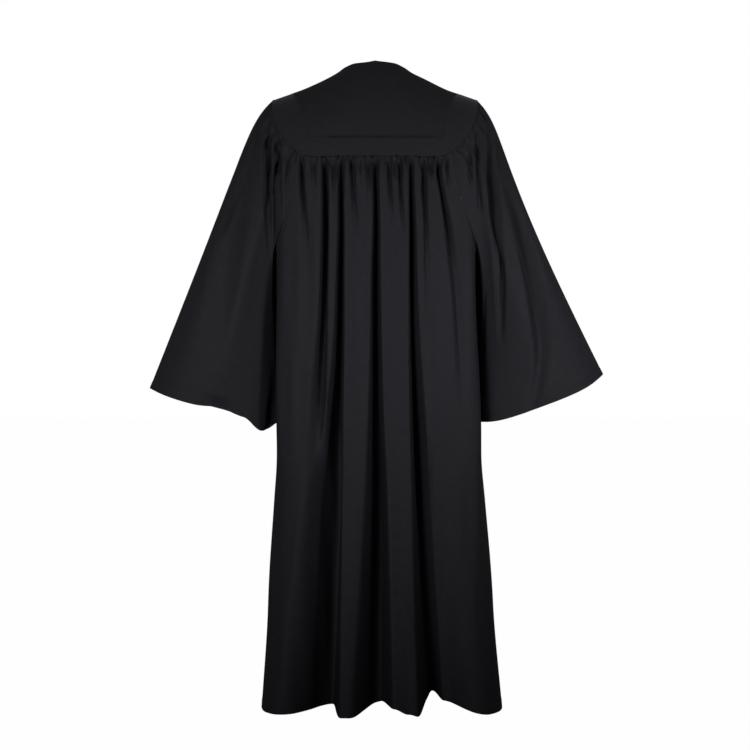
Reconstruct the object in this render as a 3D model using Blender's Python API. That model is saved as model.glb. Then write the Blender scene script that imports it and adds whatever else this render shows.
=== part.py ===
"""Clergy robe, seen from behind: hollow, as it hangs on a general figure.

Each piece that a maker cuts is one closed wall of cloth. Metres, +Z up. The origin is the middle
of the neck at the height where it meets the shoulders. The wearer faces +Y, so the back is at -Y.
"""

from collections import namedtuple

import bmesh
import bpy
import numpy as np

# Driving sizes
CLOTH = 0.001              # thickness of the cloth wall
SEAM_GAP = 0.0003          # clearance between two pieces that are sewn together
UNDERARM_LAP = 0.0008      # how far the sleeve's seam lies over the armhole edge under the arm
UNDERARM_STEP = 0.0026     # how far it stands off the cloth there
SLEEVE_CLEAR = 0.005       # space between the hanging sleeve and the body's side
YOKE_SEAM = -0.188         # height of the yoke's lower seam
HEM = -1.305               # height of the hem
NECK_HALF = 0.075          # half width of the neck opening
NAPE = 0.016               # height of the back neckline at its middle
FRONT_NECK = 0.66          # front neckline's middle, as a share of the way down to the yoke seam level
SHOULDER_HALF = 0.212      # the yoke's end, from the middle
SEAM_FORWARD = 0.015       # the shoulder seam lies this far in front of the shoulder's ridge
YOKE_FLAT = 0.123          # half length of the straight part of the yoke's lower seam
UNDERARM_DROP = 0.200      # underarm point, below the yoke seam
BAND_WIDTH = 0.039         # the plain band round the yoke
PANEL_FOOT = 0.134         # half width of the yoke panel's lower edge
PANEL_HEAD = 0.179         # half width of the yoke panel at the shoulder
CENTRE_BACK = 0.0065       # the join of the two band halves
HEM_DROP = YOKE_SEAM - HEM

# Height of the shoulder's ridge against the distance from the middle. Over the neck it is the
# rounding that the back neckline lies on.
Ridge = namedtuple("Ridge", "out height")
RIDGE = [
    Ridge(0.000, 0.032),
    Ridge(0.040, 0.023),
    Ridge(0.060, 0.011),
    Ridge(0.075, -0.001),
    Ridge(0.100, -0.0148),
    Ridge(0.126, -0.0275),
    Ridge(0.154, -0.0395),
    Ridge(0.189, -0.0515),
    Ridge(0.214, -0.0605),
    Ridge(0.235, -0.0720),
    Ridge(0.260, -0.0900),
]

# Level sections of the body. drop is measured down from the yoke seam. square is the exponent of
# the rounded outline, tuck draws the side in behind the sleeve, sway moves the section sideways.
Section = namedtuple("Section", "drop half_width back front square tuck sway")
SECTIONS = [
    Section(0.000, 0.250, 0.116, 0.108, 2.5, 0.006, 0.000),
    Section(0.035, 0.245, 0.120, 0.112, 2.5, 0.014, 0.000),
    Section(0.105, 0.237, 0.124, 0.117, 2.5, 0.028, 0.001),
    Section(0.160, 0.234, 0.125, 0.118, 2.5, 0.036, 0.002),
    Section(0.200, 0.233, 0.126, 0.118, 2.5, 0.038, 0.002),
    Section(0.320, 0.235, 0.130, 0.120, 2.5, 0.042, 0.003),
    Section(0.550, 0.240, 0.141, 0.128, 2.6, 0.042, 0.008),
    Section(0.690, 0.232, 0.151, 0.137, 2.7, 0.016, 0.0095),
    Section(0.910, 0.234, 0.172, 0.152, 3.2, 0.002, 0.0115),
    Section(1.117, 0.246, 0.193, 0.168, 4.0, 0.000, 0.0140),
]

# Distance of the armhole edge from the middle, for the back and for the front.
Armhole = namedtuple("Armhole", "drop back front")
ARMHOLE = [
    Armhole(0.000, 0.155, 0.188),
    Armhole(0.065, 0.168, 0.184),
    Armhole(0.105, 0.179, 0.186),
    Armhole(0.155, 0.196, 0.196),
    Armhole(0.182, 0.211, 0.211),
    Armhole(0.200, 0.233, 0.233),
]

# Troughs between the back's folds, in millimetres. They start at the yoke seam; x is measured
# from the middle, deep is how far the cloth sinks and wide is half the trough, all at the drops in
# LEVELS: the gathers, the waist, above and below the knee, the hem. A gather is gone at ends. lean
# makes the left wall longer than the right one, or the right one if negative; rise lifts the hem.
LEVELS = [0.030, 0.300, 0.500, 0.700, HEM_DROP]
Fold = namedtuple("Fold", "x deep wide lean rise ends")
BACK_FOLDS = [
    Fold([-150, -138, -140, -143, -150], [12, 3, 0, 0, 0], [8, 14, 14, 16, 20], 0, 0, 260),
    Fold([-124, -124, -130, -140, -152], [6, 0, 0, 0, 0], [7, 8, 8, 8, 10], 0, 0, 75),
    Fold([-100, -107, -122, -130, -150], [13, 32, 38, 30, 8], [9, 13, 21, 26, 26], 0, 0, 1100),
    Fold([-84, -86, -100, -110, -120], [8, 0, 0, 0, 0], [7, 8, 8, 8, 10], 0, 0, 110),
    Fold([-68, -74, -83, -90, -108], [13, 36, 54, 78, 118], [8, 13, 20, 42, 70], 0.62, 6, 9999),
    Fold([-46, -36, -45, -50, -60], [10, 2, 0, 0, 0], [8, 12, 10, 10, 10], 0, 0, 230),
    Fold([-30, -24, -30, -34, -40], [6, 0, 0, 0, 0], [6, 8, 8, 8, 10], 0, 0, 70),
    Fold([-14, -12, -15, -18, -25], [7, 0, 0, 0, 0], [6, 8, 8, 8, 10], 0, 0, 110),
    Fold([2, -1, -3, 1, -4], [13, 38, 50, 66, 90], [9, 14, 18, 26, 45], 0.38, 16, 9999),
    Fold([29, 36, 33, 30, 22], [9, 2, 0, 0, 0], [7, 10, 10, 14, 30], 0, 18, 190),
    Fold([38, 46, 46, 45, 45], [6, 0, 0, 0, 0], [6, 8, 8, 8, 10], 0, 0, 70),
    Fold([50, 58, 56, 54, 52], [9, 3, 0, 0, 0], [7, 9, 15, 20, 30], 0, 7, 240),
    Fold([73, 75, 78, 86, 101], [13, 36, 48, 62, 94], [8, 13, 18, 23, 32], 0.05, 26, 9999),
    Fold([98, 104, 108, 112, 124], [10, 3, 2, 12, 60], [8, 12, 20, 34, 62], -0.5, 24, 9999),
    Fold([112, 130, 136, 142, 150], [6, 0, 0, 0, 0], [7, 10, 10, 10, 12], 0, 0, 80),
    Fold([129, 165, 172, 176, 182], [11, 13, 8, 4, 0], [8, 18, 20, 22, 24], 0, 0, 900),
    Fold([146, 176, 180, 184, 190], [7, 0, 0, 0, 0], [6, 10, 10, 10, 12], 0, 0, 90),
]
DEEP_FOLDS = [2, 4, 8, 12]  # the ones that run far down
CENTRE_FOLD = 8            # the centre back seam runs up the right wall of this trough
BETWEEN_FOLDS = 4          # columns of cloth from one trough to the next
SEAM_COLUMN = BETWEEN_FOLDS * (CENTRE_FOLD + 1) + 2
FRONT_FOLDS = [
    Fold([42, 50, 54, 58, 66], [0, 9, 18, 28, 44], [20, 26, 28, 30, 34], 0, 0, 9999),
    Fold([88, 104, 110, 116, 128], [0, 12, 22, 34, 52], [20, 28, 30, 32, 36], 0, 0, 9999),
    Fold([130, 156, 163, 170, 186], [0, 8, 13, 18, 26], [16, 20, 22, 23, 26], 0, 0, 9999),
]
LEAN_FROM = 0.300          # troughs start to lean this far below the yoke seam
LEAN_TO = 0.750            # and lean fully here
RISE_LEVEL = 0.600         # the hem's rise at a trough starts this far below the yoke seam
GATHERS_END = 0.080        # down to here the back's columns follow every gather
DEEP_ONLY = 0.380          # from here down they follow the deep folds only
EDGE_FADE = 0.014          # folds fade out over this width beside an armhole or a side seam
CORNER_FADE = 0.050        # the back's top rows come level over this drop below the band's corners
TUCK_START = 0.6           # the side is drawn in from this share of the way round to the side seam

# Lower edge of each sleeve, as seen from behind: the outer corner at the wrist, the inner end
# beside the body, half of its depth from back to front, how far it sags and how far its lowest
# tip hangs below that. bow is how far the sleeve's outer edge curves in above the wrist.
Cuff = namedtuple("Cuff", "out_x out_z in_x in_z half_depth sag tip bow")
LEFT_CUFF = Cuff(0.468, -0.657, 0.1985, -0.728, 0.072, 0.008, 0.020, 0.002)
RIGHT_CUFF = Cuff(0.474, -0.628, 0.2110, -0.726, 0.070, 0.017, 0.000, 0.017)
FLATTENED = 0.45           # the oval comes this much nearer to a pointed lens at its outer end

# Troughs in a sleeve, placed round it: 0 is the outer edge, 0.5 the underarm line, and what lies
# between them is the back. Depths in millimetres at the head, the elbow and the cuff.
SleeveFold = namedtuple(
    "SleeveFold", "head elbow cuff deep_head deep_elbow deep_cuff wide ends"
)
LEFT_FOLDS = [
    SleeveFold(0.090, 0.110, 0.115, 3, 11, 0, 0.035, 0.55),
    SleeveFold(0.245, 0.330, 0.360, 4, 5, 0, 0.030, 0.40),
    SleeveFold(0.300, 0.370, 0.400, 4, 8, 0, 0.035, 0.60),
    SleeveFold(0.215, 0.225, 0.240, 0, 7, 5, 0.080, 9.9),
    SleeveFold(0.720, 0.700, 0.690, 3, 12, 16, 0.060, 9.9),
    SleeveFold(0.870, 0.860, 0.850, 4, 8, 8, 0.050, 9.9),
]
RIGHT_FOLDS = [
    SleeveFold(0.215, 0.315, 0.345, 4, 13, 0, 0.046, 0.75),
    SleeveFold(0.090, 0.135, 0.270, 3, 15, 4, 0.042, 9.9),
    SleeveFold(0.300, 0.370, 0.400, 4, 4, 0, 0.030, 0.50),
    SleeveFold(0.700, 0.690, 0.680, 3, 12, 15, 0.060, 9.9),
    SleeveFold(0.850, 0.850, 0.840, 4, 9, 8, 0.050, 9.9),
]
CORNER_SHARE = 0.34        # share of the sleeve's round that hangs from one side of the yoke
SEAM_SHARE = 0.985         # where the shoulder seam lies round the sleeve
BAND_SIDE = 26             # columns of the sleeve along the band
HEAD_GATHERS = np.arange(3, BAND_SIDE, 4) * CORNER_SHARE / BAND_SIDE
GATHER_DEPTH = 5           # of the sleeve's head, in millimetres
GATHER_WIDE = 0.026        # half of a head gather, as a share of the sleeve's round
SLEEVE_PUFF = 0.026        # how far the sleeve stands out just below its seam
PUFF_LENGTH = 0.05         # share of the sleeve's length in which it swells to that
UNDERARM_LAPPED = 0.11     # share of the round, to each side of the underarm, that laps the body
UNDERARM_FLAT = 0.16       # share of the round, to each side of it, that has no puff
UNDERARM_TURN = 0.3        # share of the round, to each side of it, that turns down at once

# How finely the walls are divided
UPPER_ROWS = [0, 0.010, 0.024, 0.045, 0.075, 0.115, 0.155, 0.182, UNDERARM_DROP]
LOWER_ROWS = [0.290, 0.390, 0.480, 0.560, 0.650, 0.800, 0.960, HEM_DROP]
BODY_ROWS = np.array(UPPER_ROWS + LOWER_ROWS)
SLEEVE_ROWS = np.array([0, 0.016, 0.040, 0.075, 0.13, 0.21, 0.33, 0.48, 0.65, 0.83, 1])
BAND_COLUMNS = 28
BAND_ROWS = 3
YOKE_ROWS = 6
NECK_COLUMNS = 5
FRONT_COLUMNS = NECK_COLUMNS + YOKE_ROWS + BAND_ROWS
MM = 0.001
QUARTER = np.pi / 2


def smooth_curve(knots, values, at):
    """A smooth curve through the knots that never swings past a value."""
    knots, values, at = (np.asarray(a, float) for a in (knots, values, at))
    step = np.diff(knots)
    rise = np.diff(values) / step
    slope = np.zeros_like(values)
    same_way = rise[:-1] * rise[1:] > 0
    before, after = rise[:-1][same_way], rise[1:][same_way]
    slope[1:-1][same_way] = 2 * before * after / (before + after)
    slope[0], slope[-1] = rise[0], rise[-1]
    i = np.clip(np.searchsorted(knots, at) - 1, 0, len(step) - 1)
    t = np.clip((at - knots[i]) / step[i], 0, 1)
    start = (1 + 2 * t) * (1 - t) ** 2 * values[i] + t * (1 - t) ** 2 * step[i] * slope[i]
    end = t * t * (3 - 2 * t) * values[i + 1] + t * t * (t - 1) * step[i] * slope[i + 1]
    return start + end


def column(rows, name):
    return [getattr(row, name) for row in rows]


def ease(t):
    """0 to 1, flat at both ends."""
    t = np.clip(t, 0, 1)
    return t * t * (3 - 2 * t)


def trough(t, lean=0.0):
    """1 in the middle of a trough, 0 from its edge outwards."""
    reach = np.where(t < 0, 1 + lean, 1 - lean)
    return np.cos(QUARTER * np.clip(np.abs(t) / reach, 0, 1)) ** 2


def unit(v):
    return v / np.maximum(np.linalg.norm(v, axis=-1, keepdims=True), 1e-12)


def ridge_height(x):
    return smooth_curve(column(RIDGE, "out"), column(RIDGE, "height"), np.abs(x))


def section(name, drop):
    return smooth_curve(column(SECTIONS, "drop"), column(SECTIONS, name), drop)


def depth(x, drop, side):
    """How far the body stands out at x on a level section: side -1 is the back, +1 the front."""
    square = section("square", drop)
    share = np.clip(np.abs(x) / section("half_width", drop), 0, 1)
    return section("back" if side < 0 else "front", drop) * (1 - share**square) ** (1 / square)


def shoulder(x, over):
    """A point of the shoulders. over is the angle past the ridge: 90 degrees at the yoke seam's
    height on the back, -90 at the same height on the front."""
    ridge = ridge_height(x)
    height = YOKE_SEAM + (ridge - YOKE_SEAM) * np.cos(over)
    y = np.where(over > 0, -depth(x, 0, -1), -depth(x, 0, 1)) * np.sin(over)
    return np.stack([x, y, height], -1)


def side_share(turn):
    """0 over the back or front, rising to 1 at the side seam."""
    return ease((np.abs(turn) / QUARTER - TUCK_START) / (1 - TUCK_START))


def body(turn, drop, side, lift=0.0):
    """A point of the body below the yoke seam. turn is -90 degrees at the left side seam, 0 in
    the middle and 90 at the right side seam."""
    half = section("half_width", drop)
    x = half * np.sin(turn)
    y = side * depth(x, drop, side)
    tucked = 1 - section("tuck", drop) / half * side_share(turn)
    height = YOKE_SEAM - drop + lift + 0 * x
    return np.stack([x * tucked + section("sway", drop), y, height], -1)


def armhole_turn(drop, side):
    """Where the armhole edge, or below the underarm the side seam, cuts a level section."""
    out = smooth_curve(column(ARMHOLE, "drop"), column(ARMHOLE, "back" if side < 0 else "front"), drop)
    share = np.clip(out / section("half_width", drop), 0, 1)
    return np.where(drop >= UNDERARM_DROP - 1e-9, QUARTER, np.arcsin(share))


def resample(path, count):
    """The same path with evenly spaced points, measured on the shoulders' surface."""
    points = shoulder(path[:, 0], path[:, 1])
    length = np.concatenate([[0], np.cumsum(np.linalg.norm(np.diff(points, axis=0), axis=1))])
    even = np.linspace(0, length[-1], count)
    return np.stack([np.interp(even, length, path[:, k]) for k in range(2)], -1)


def seam_angle(x):
    """The angle over the ridge at which the shoulder seam lies in front of it."""
    ends = np.array([NECK_HALF, SHOULDER_HALF])
    return np.interp(x, ends, -np.arcsin(SEAM_FORWARD / depth(ends, 0, 1)))


def shoulder_facing(x, over):
    """The outward direction of the shoulders' surface."""
    nudge = 1e-4
    here = shoulder(x, over)
    right = shoulder(x + nudge, over) - here
    backward = shoulder(x, over + nudge) - here
    return unit(np.cross(backward, right))


def band_end(over):
    """x of the band's outer edge, a quarter ellipse from the shoulder to the straight seam."""
    rise = 1 - np.cos(np.maximum(over, 0))
    return YOKE_FLAT + (SHOULDER_HALF - YOKE_FLAT) * np.sqrt(np.clip(1 - rise**2, 0, 1))


def outer_path():
    """(x, over) along the band's outer edge, from the centre back to the shoulder seam."""
    straight = np.linspace(0, YOKE_FLAT, 60)
    sweep = np.arccos(1 - np.sin(np.linspace(QUARTER, 0, 200)))
    past_ridge = np.linspace(0, seam_angle(np.array(SHOULDER_HALF)), 12)[1:]
    over = np.concatenate([np.full(60, QUARTER), sweep[1:], past_ridge])
    return np.stack([np.concatenate([straight, band_end(over[60:])]), over], -1)


def inner_path():
    """(x, over) along the join of band and yoke panel: level at the foot, then up the slant."""
    foot_height = YOKE_SEAM + BAND_WIDTH

    def over_at(x, height):
        return np.arccos(np.clip((height - YOKE_SEAM) / (ridge_height(x) - YOKE_SEAM), 0, 1))

    flat = np.linspace(0, PANEL_FOOT, 60)
    level = np.stack([flat, over_at(flat, foot_height)], -1)
    corner = level[-1, 1]
    climb = np.linspace(corner, seam_angle(np.array(PANEL_HEAD)), 80)[1:]
    slant = PANEL_FOOT + (PANEL_HEAD - PANEL_FOOT) * np.minimum((corner - climb) / corner, 1)
    return level, np.stack([slant, climb], -1)


def neck_path():
    """(x, over) along the back neckline, from its middle to the shoulder seam."""
    out = NECK_HALF * np.sin(np.linspace(0, QUARTER, 80))
    fall = (ridge_height(np.array(0.0)) - NAPE) / (ridge_height(np.array(0.0)) - YOKE_SEAM)
    over = np.arccos(1 - fall) * np.sqrt(np.clip(1 - (out / NECK_HALF) ** 2, 0, 1))
    past = np.linspace(0, seam_angle(np.array(NECK_HALF)), 12)[1:]
    return np.stack([np.append(out, np.full(11, NECK_HALF)), np.append(over, past)], -1)


def yoke_paths():
    """Outer edge, inner join and neckline of the right half, with a column on the panel's corner."""
    outer = resample(outer_path(), BAND_COLUMNS + 1)
    level, slant = inner_path()
    corner = int(np.argmin(np.abs(outer[:, 0] - (PANEL_FOOT + 0.5 * BAND_WIDTH))))
    inner = np.concatenate([
        resample(level, corner + 1),
        resample(np.concatenate([level[-1:], slant]), BAND_COLUMNS + 1 - corner)[1:],
    ])
    return outer, inner, resample(neck_path(), BAND_COLUMNS + 1)


def mirrored(path):
    """Both halves of a path, from the left end to the right end."""
    return np.concatenate([path[:0:-1] * [-1, 1], path])


def normals(points, closed=False):
    """Surface direction at each point of a grid, by the slopes along its rows and columns."""
    if closed:
        ring = np.concatenate([points[:, -1:], points, points[:, :1]], 1)
        along = (ring[:, 2:] - ring[:, :-2]) / 2
    else:
        along = np.gradient(points, axis=1)
    return unit(np.cross(np.gradient(points, axis=0), along))


def mitred(points, facing, closed=False):
    """facing lengthened at creases, so that the wall keeps its thickness on both sides of them."""
    around = np.roll(points, -1, 1) - points if closed else np.diff(points, axis=1)
    down = np.diff(points, axis=0)
    face = unit(np.cross(around[:-1], down if closed else down[:, :-1]))
    total = np.zeros(points.shape[:2])
    count = np.zeros(points.shape[:2])
    for i in (0, 1):
        for j in (0, 1):
            if closed:
                rows = slice(i, i + face.shape[0])
                total[rows] += np.abs((np.roll(face, j, 1) * facing[rows]).sum(-1))
                count[rows] += 1
            else:
                cell = (slice(i, i + face.shape[0]), slice(j, j + face.shape[1]))
                total[cell] += np.abs((face * facing[cell]).sum(-1))
                count[cell] += 1
    return facing / np.clip(total / count, 0.62, 1)[..., None]


def wall(name, points, facing, material, closed=False):
    """One closed wall of cloth round a grid of points. closed joins the last column to the first.
    Each cell is cut along its shorter diagonal, the same way on both skins."""
    rows, columns = points.shape[:2]
    if closed:
        facing = np.concatenate([facing, facing[:, :1]], 1)
        points = np.concatenate([points, points[:, :1]], 1)
    number = np.arange(rows)[:, None] * columns + np.arange(points.shape[1]) % columns
    corners = [number[:-1, :-1], number[:-1, 1:], number[1:, 1:], number[1:, :-1]]
    a, b, c, d = (corner.ravel() for corner in corners)
    skin = (points + facing * CLOTH / 2)[:, :columns].reshape(-1, 3)
    lining = (points - facing * CLOTH / 2)[:, :columns].reshape(-1, 3)
    middle = (skin + lining) / 2
    straight = np.linalg.norm(middle[a] - middle[c], axis=1)
    other = np.linalg.norm(middle[b] - middle[d], axis=1)
    first = np.where((straight <= other)[:, None], np.stack([a, b, c], 1), np.stack([a, b, d], 1))
    second = np.where((straight <= other)[:, None], np.stack([a, c, d], 1), np.stack([b, c, d], 1))
    cloth = np.concatenate([first, second])
    edges = [number[0], number[-1, ::-1]]
    if not closed:
        edges += [number[::-1, 0], number[:, -1]]
    back = rows * columns
    rims = np.concatenate([
        np.stack([edge[1:], edge[:-1], edge[:-1] + back, edge[1:] + back], 1) for edge in edges
    ])
    mesh = bpy.data.meshes.new(name)
    faces = cloth.tolist() + (cloth[:, ::-1] + back).tolist() + rims.tolist()
    mesh.from_pydata(np.concatenate([skin, lining]).tolist(), [], faces)
    shell = bmesh.new()
    shell.from_mesh(mesh)
    bmesh.ops.recalc_face_normals(shell, faces=shell.faces)
    shell.to_mesh(mesh)
    shell.free()
    mesh.shade_smooth()
    piece = bpy.data.objects.new(name, mesh)
    piece.data.materials.append(material)
    bpy.context.scene.collection.objects.link(piece)
    return piece


def fold_path(fold, drop):
    """(x, half width, depth, lean, rise) of a trough at each drop, in metres."""
    x = smooth_curve(LEVELS, fold.x, drop)
    wide = smooth_curve(LEVELS, fold.wide, drop)
    deep = smooth_curve([0] + LEVELS, [0] + fold.deep, drop)
    lean = fold.lean * ease((drop - LEAN_FROM) / (LEAN_TO - LEAN_FROM))
    rise = fold.rise * MM * ease((drop - RISE_LEVEL) / (HEM_DROP - RISE_LEVEL))
    return x * MM, wide * MM, deep * MM * (1 - ease(drop * 1000 / fold.ends)), lean, rise


def sink(x, drop, edge, folds):
    """How far the cloth sinks below the rounded body at x and how far it is lifted there, nothing
    at the side edges."""
    total = np.zeros((2,) + np.broadcast(x, drop).shape)
    for fold in folds:
        middle, wide, deep, lean, rise = fold_path(fold, drop)
        share = trough((x - middle) / wide, lean)
        total[0] += deep * share
        total[1] += rise * share
    return total * ease((edge - np.abs(x)) / EDGE_FADE)


def folded(grid, facing, x, drop, edge, folds):
    """The grid with its folds pressed in level, so that the hem keeps its height."""
    deep, rise = sink(x, drop, edge, folds)
    points = grid - unit(facing * [1, 1, 0]) * deep[..., None]
    points[..., 2] += rise
    return points


def back_turns(drops):
    """Turns of the back's columns on each row. Every trough has a column along its bottom, and
    the cloth between is shared out evenly; far down only the deep folds count."""
    rows = []
    for drop in drops:
        half = section("half_width", drop)
        edge = half * np.sin(armhole_turn(drop, -1))
        x = half * np.sin(np.linspace(-1, 1, 1601) * np.arcsin(edge / half))
        y = -depth(x, drop, -1) + sink(x, drop, edge, BACK_FOLDS)[0]
        length = np.concatenate([[0], np.cumsum(np.hypot(np.diff(x), np.diff(y)))])
        middles = np.array([fold_path(fold, drop)[0] for fold in BACK_FOLDS])
        marks = np.concatenate([[0], np.interp(middles, x, length), length[-1:]])
        number = np.arange(len(marks)) * BETWEEN_FOLDS
        deep = [0] + [k + 1 for k in DEEP_FOLDS] + [len(marks) - 1]
        columns = np.arange(number[-1] + 1)
        near = np.interp(columns, number, np.maximum.accumulate(marks))
        far = np.interp(columns, number[deep], marks[deep])
        along = near + (far - near) * ease((drop - GATHERS_END) / (DEEP_ONLY - GATHERS_END))
        rows.append(np.arcsin(np.interp(along, length, x) / half))
    return np.array(rows)


def back_grid():
    """Grid of the back without its folds, its outward directions and the columns' turns. The top
    row follows the band up its round corners; lower rows soon come level."""
    drop = BODY_ROWS[:, None]
    turns = back_turns(BODY_ROWS)
    x = section("half_width", 0.0) * np.sin(turns[0])
    share = np.clip((np.abs(x) - YOKE_FLAT) / (SHOULDER_HALF - YOKE_FLAT), 0, 1)
    climb = (ridge_height(x) - YOKE_SEAM) * (1 - np.sqrt(1 - share**2))
    grid = body(turns, drop, -1, climb * np.exp(-drop / CORNER_FADE))
    over = np.arccos(climb / (ridge_height(x) - YOKE_SEAM))
    grid[0] = shoulder(x, over)
    facing = normals(grid)
    facing[0] = shoulder_facing(x, over)
    below = BODY_ROWS >= UNDERARM_DROP - 1e-9
    facing[below, 0], facing[below, -1] = [-1, 0, 0], [1, 0, 0]
    grid[0, :, 2] -= SEAM_GAP
    return grid, facing, turns


def build_back(material):
    grid, facing, turns = back_grid()
    drop = BODY_ROWS[:, None]
    x = section("half_width", drop) * np.sin(turns)
    edge = section("half_width", drop) * np.sin(armhole_turn(drop, -1))
    points = folded(grid, facing, x, drop, edge, BACK_FOLDS)
    final = normals(points)
    final[0], final[:, 0], final[:, -1] = facing[0], facing[:, 0], facing[:, -1]
    final = mitred(points, final)
    apart = unit(points[:, SEAM_COLUMN + 1] - points[:, SEAM_COLUMN - 1]) * SEAM_GAP / 2
    left, right = points[:, : SEAM_COLUMN + 1].copy(), points[:, SEAM_COLUMN:].copy()
    left[:, -1] -= apart
    right[:, 0] += apart
    wall("back_left", left, final[:, : SEAM_COLUMN + 1], material)
    wall("back_right", right, final[:, SEAM_COLUMN:], material)


def front_grid(sign):
    """Grid of one front panel without its folds, its outward directions and how far each column
    lies round: neckline and shoulder seam, the slope down to the yoke seam's level, level rows."""
    share = np.linspace(0, 1, FRONT_COLUMNS + 1)
    stops = [0, NECK_COLUMNS, NECK_COLUMNS + YOKE_ROWS, FRONT_COLUMNS]
    ends = [SEAM_GAP / 2, NECK_HALF, PANEL_HEAD, SHOULDER_HALF]
    top_x = np.interp(np.arange(FRONT_COLUMNS + 1), stops, ends)
    scoop = np.clip(top_x / NECK_HALF, 0, 1) ** 1.3
    seam = seam_angle(top_x) - SEAM_GAP / depth(top_x, 0, 1)
    top_over = -FRONT_NECK * QUARTER * (1 - scoop) + seam * scoop
    foot_x = section("half_width", 0.0) * np.sin(share * armhole_turn(0.0, 1))
    foot_x[0] = SEAM_GAP / 2
    v = np.linspace(0, 1, 6)[:-1, None]
    slope_x = top_x + (foot_x - top_x) * v
    slope_over = top_over + (-QUARTER - top_over) * v
    drop = BODY_ROWS[:, None]
    level = body(share * armhole_turn(drop, 1), drop, 1) * [sign, 1, 1]
    level[..., 0] += section("sway", drop) * (1 - sign)
    level[:, 0, 0] += sign * SEAM_GAP / 2
    upper = shoulder(slope_x, slope_over) * [sign, 1, 1]
    grid = np.concatenate([upper, level])
    facing = normals(grid) * -sign
    facing[0] = shoulder_facing(top_x, top_over) * [sign, 1, 1]
    facing[:, 0, 0] = 0
    facing[:, 0] = unit(facing[:, 0])
    below = len(v) + np.flatnonzero(BODY_ROWS >= UNDERARM_DROP - 1e-9)
    facing[below, -1] = [sign, 0, 0]
    grid[below, -1, 1] += SEAM_GAP
    return grid, facing, share


def build_front(name, sign, material):
    grid, facing, share = front_grid(sign)
    drop = BODY_ROWS[:, None]
    side = section("half_width", drop)
    x = side * np.sin(share * armhole_turn(drop, 1))
    points = grid.copy()
    level = slice(-len(drop), None)
    points[level] = folded(grid[level], facing[level], x, drop, side, FRONT_FOLDS)
    final = normals(points) * -sign
    final[0], final[:, 0], final[:, -1] = facing[0], facing[:, 0], facing[:, -1]
    wall(name, points, mitred(points, final), material)


def armhole_ring(sign):
    """The edge that the sleeve is sewn to, from the ridge round the back, under the arm and up
    the front: points, the body's outward direction, and where each lies round the sleeve. Each
    corner of the body's edge gets a column of the sleeve."""
    back, back_facing, turns = back_grid()
    front, front_facing, _ = front_grid(sign)
    side = -1 if sign > 0 else 0
    above = len(UPPER_ROWS)
    corner_x = section("half_width", 0.0) * np.sin(turns[0, -1])
    rise = np.sqrt(1 - ((corner_x - YOKE_FLAT) / (SHOULDER_HALF - YOKE_FLAT)) ** 2)
    over = np.linspace(0, np.arccos(1 - rise), 40)
    x = band_end(over)
    ahead = np.linspace(seam_angle(SHOULDER_HALF), 0, 4)
    stretches = [
        (shoulder(x, over) * [sign, 1, 1], shoulder_facing(x, over) * [sign, 1, 1]),
        (back[:above, side], back_facing[:above, side]),
        (front[:-len(LOWER_ROWS), -1][::-1], front_facing[:-len(LOWER_ROWS), -1][::-1]),
        (
            shoulder(SHOULDER_HALF + 0 * ahead, ahead) * [sign, 1, 1],
            shoulder_facing(SHOULDER_HALF + 0 * ahead, ahead) * [sign, 1, 1],
        ),
    ]
    marks = [0, CORNER_SHARE, 0.5, SEAM_SHARE, 1]
    where = []
    for (points, _), start, end in zip(stretches, marks, marks[1:]):
        length = np.cumsum(np.linalg.norm(np.diff(points, axis=0, prepend=points[:1]), axis=1))
        where.append(start + (end - start) * length / length[-1])
    columns = np.concatenate([
        np.linspace(0, CORNER_SHARE, BAND_SIDE, endpoint=False),
        where[1][:-1],
        where[2][: above - 1],
        divided(where[2][above - 1:], 4),
        where[3][:1],
    ])
    points = np.concatenate([stretch[0] for stretch in stretches])
    facing = np.concatenate([stretch[1] for stretch in stretches])
    where = np.concatenate(where)
    ring = np.stack([np.interp(columns, where, points[:, k]) for k in range(3)], -1)
    outward = unit(np.stack([np.interp(columns, where, facing[:, k]) for k in range(3)], -1))
    return ring, outward, columns


def divided(marks, parts):
    """Each step between marks cut into parts, without the last mark."""
    return np.interp(np.arange((len(marks) - 1) * parts) / parts, np.arange(len(marks)), marks)


def smoothed_round(values, where, width):
    """values averaged with their neighbours round the sleeve."""
    apart = (where[:, None] - where[None, :] + 0.5) % 1 - 0.5
    weight = np.exp(-((apart / width) ** 2)) * np.gradient(where)
    return weight @ values


def cuff_ring(cuff, where, sign):
    """The sleeve's lower edge: an oval, flatter at its outer end, that slopes down towards the
    body and is lowest near it."""
    turn = 2 * np.pi * where
    out = (1 + np.cos(turn)) / 2
    x = cuff.in_x + (cuff.out_x - cuff.in_x) * out
    z = cuff.in_z + (cuff.out_z - cuff.in_z) * out
    z = z - cuff.sag * (1 - (2 * out - 1) ** 4) - cuff.tip * trough((out - 0.13) / 0.13)
    flat = FLATTENED * out * np.sin(turn) * (np.abs(np.sin(turn)) - 1)
    return np.stack([sign * x, -cuff.half_depth * (np.sin(turn) + flat), z], -1)


def sleeve_sink(where, t, folds):
    """How far the sleeve's cloth sinks between its folds: the head's gathers, then its own folds."""
    total = np.zeros(np.broadcast(where, t).shape)
    for middle in HEAD_GATHERS:
        for side in (middle, 1 - middle):
            pressed = GATHER_DEPTH * ease(t / 0.03) * (1 - ease(t / 0.26))
            total = total + pressed * trough((where - side) / GATHER_WIDE)
    for fold in folds:
        middle = smooth_curve([0, 0.4, 1], [fold.head, fold.elbow, fold.cuff], t)
        deep = smooth_curve([0, 0.06, 0.4, 1],
                            [0, fold.deep_head, fold.deep_elbow, fold.deep_cuff], t)
        total = total + deep * trough((where - middle) / fold.wide) * (1 - ease(t / fold.ends))
    return total * MM


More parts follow.
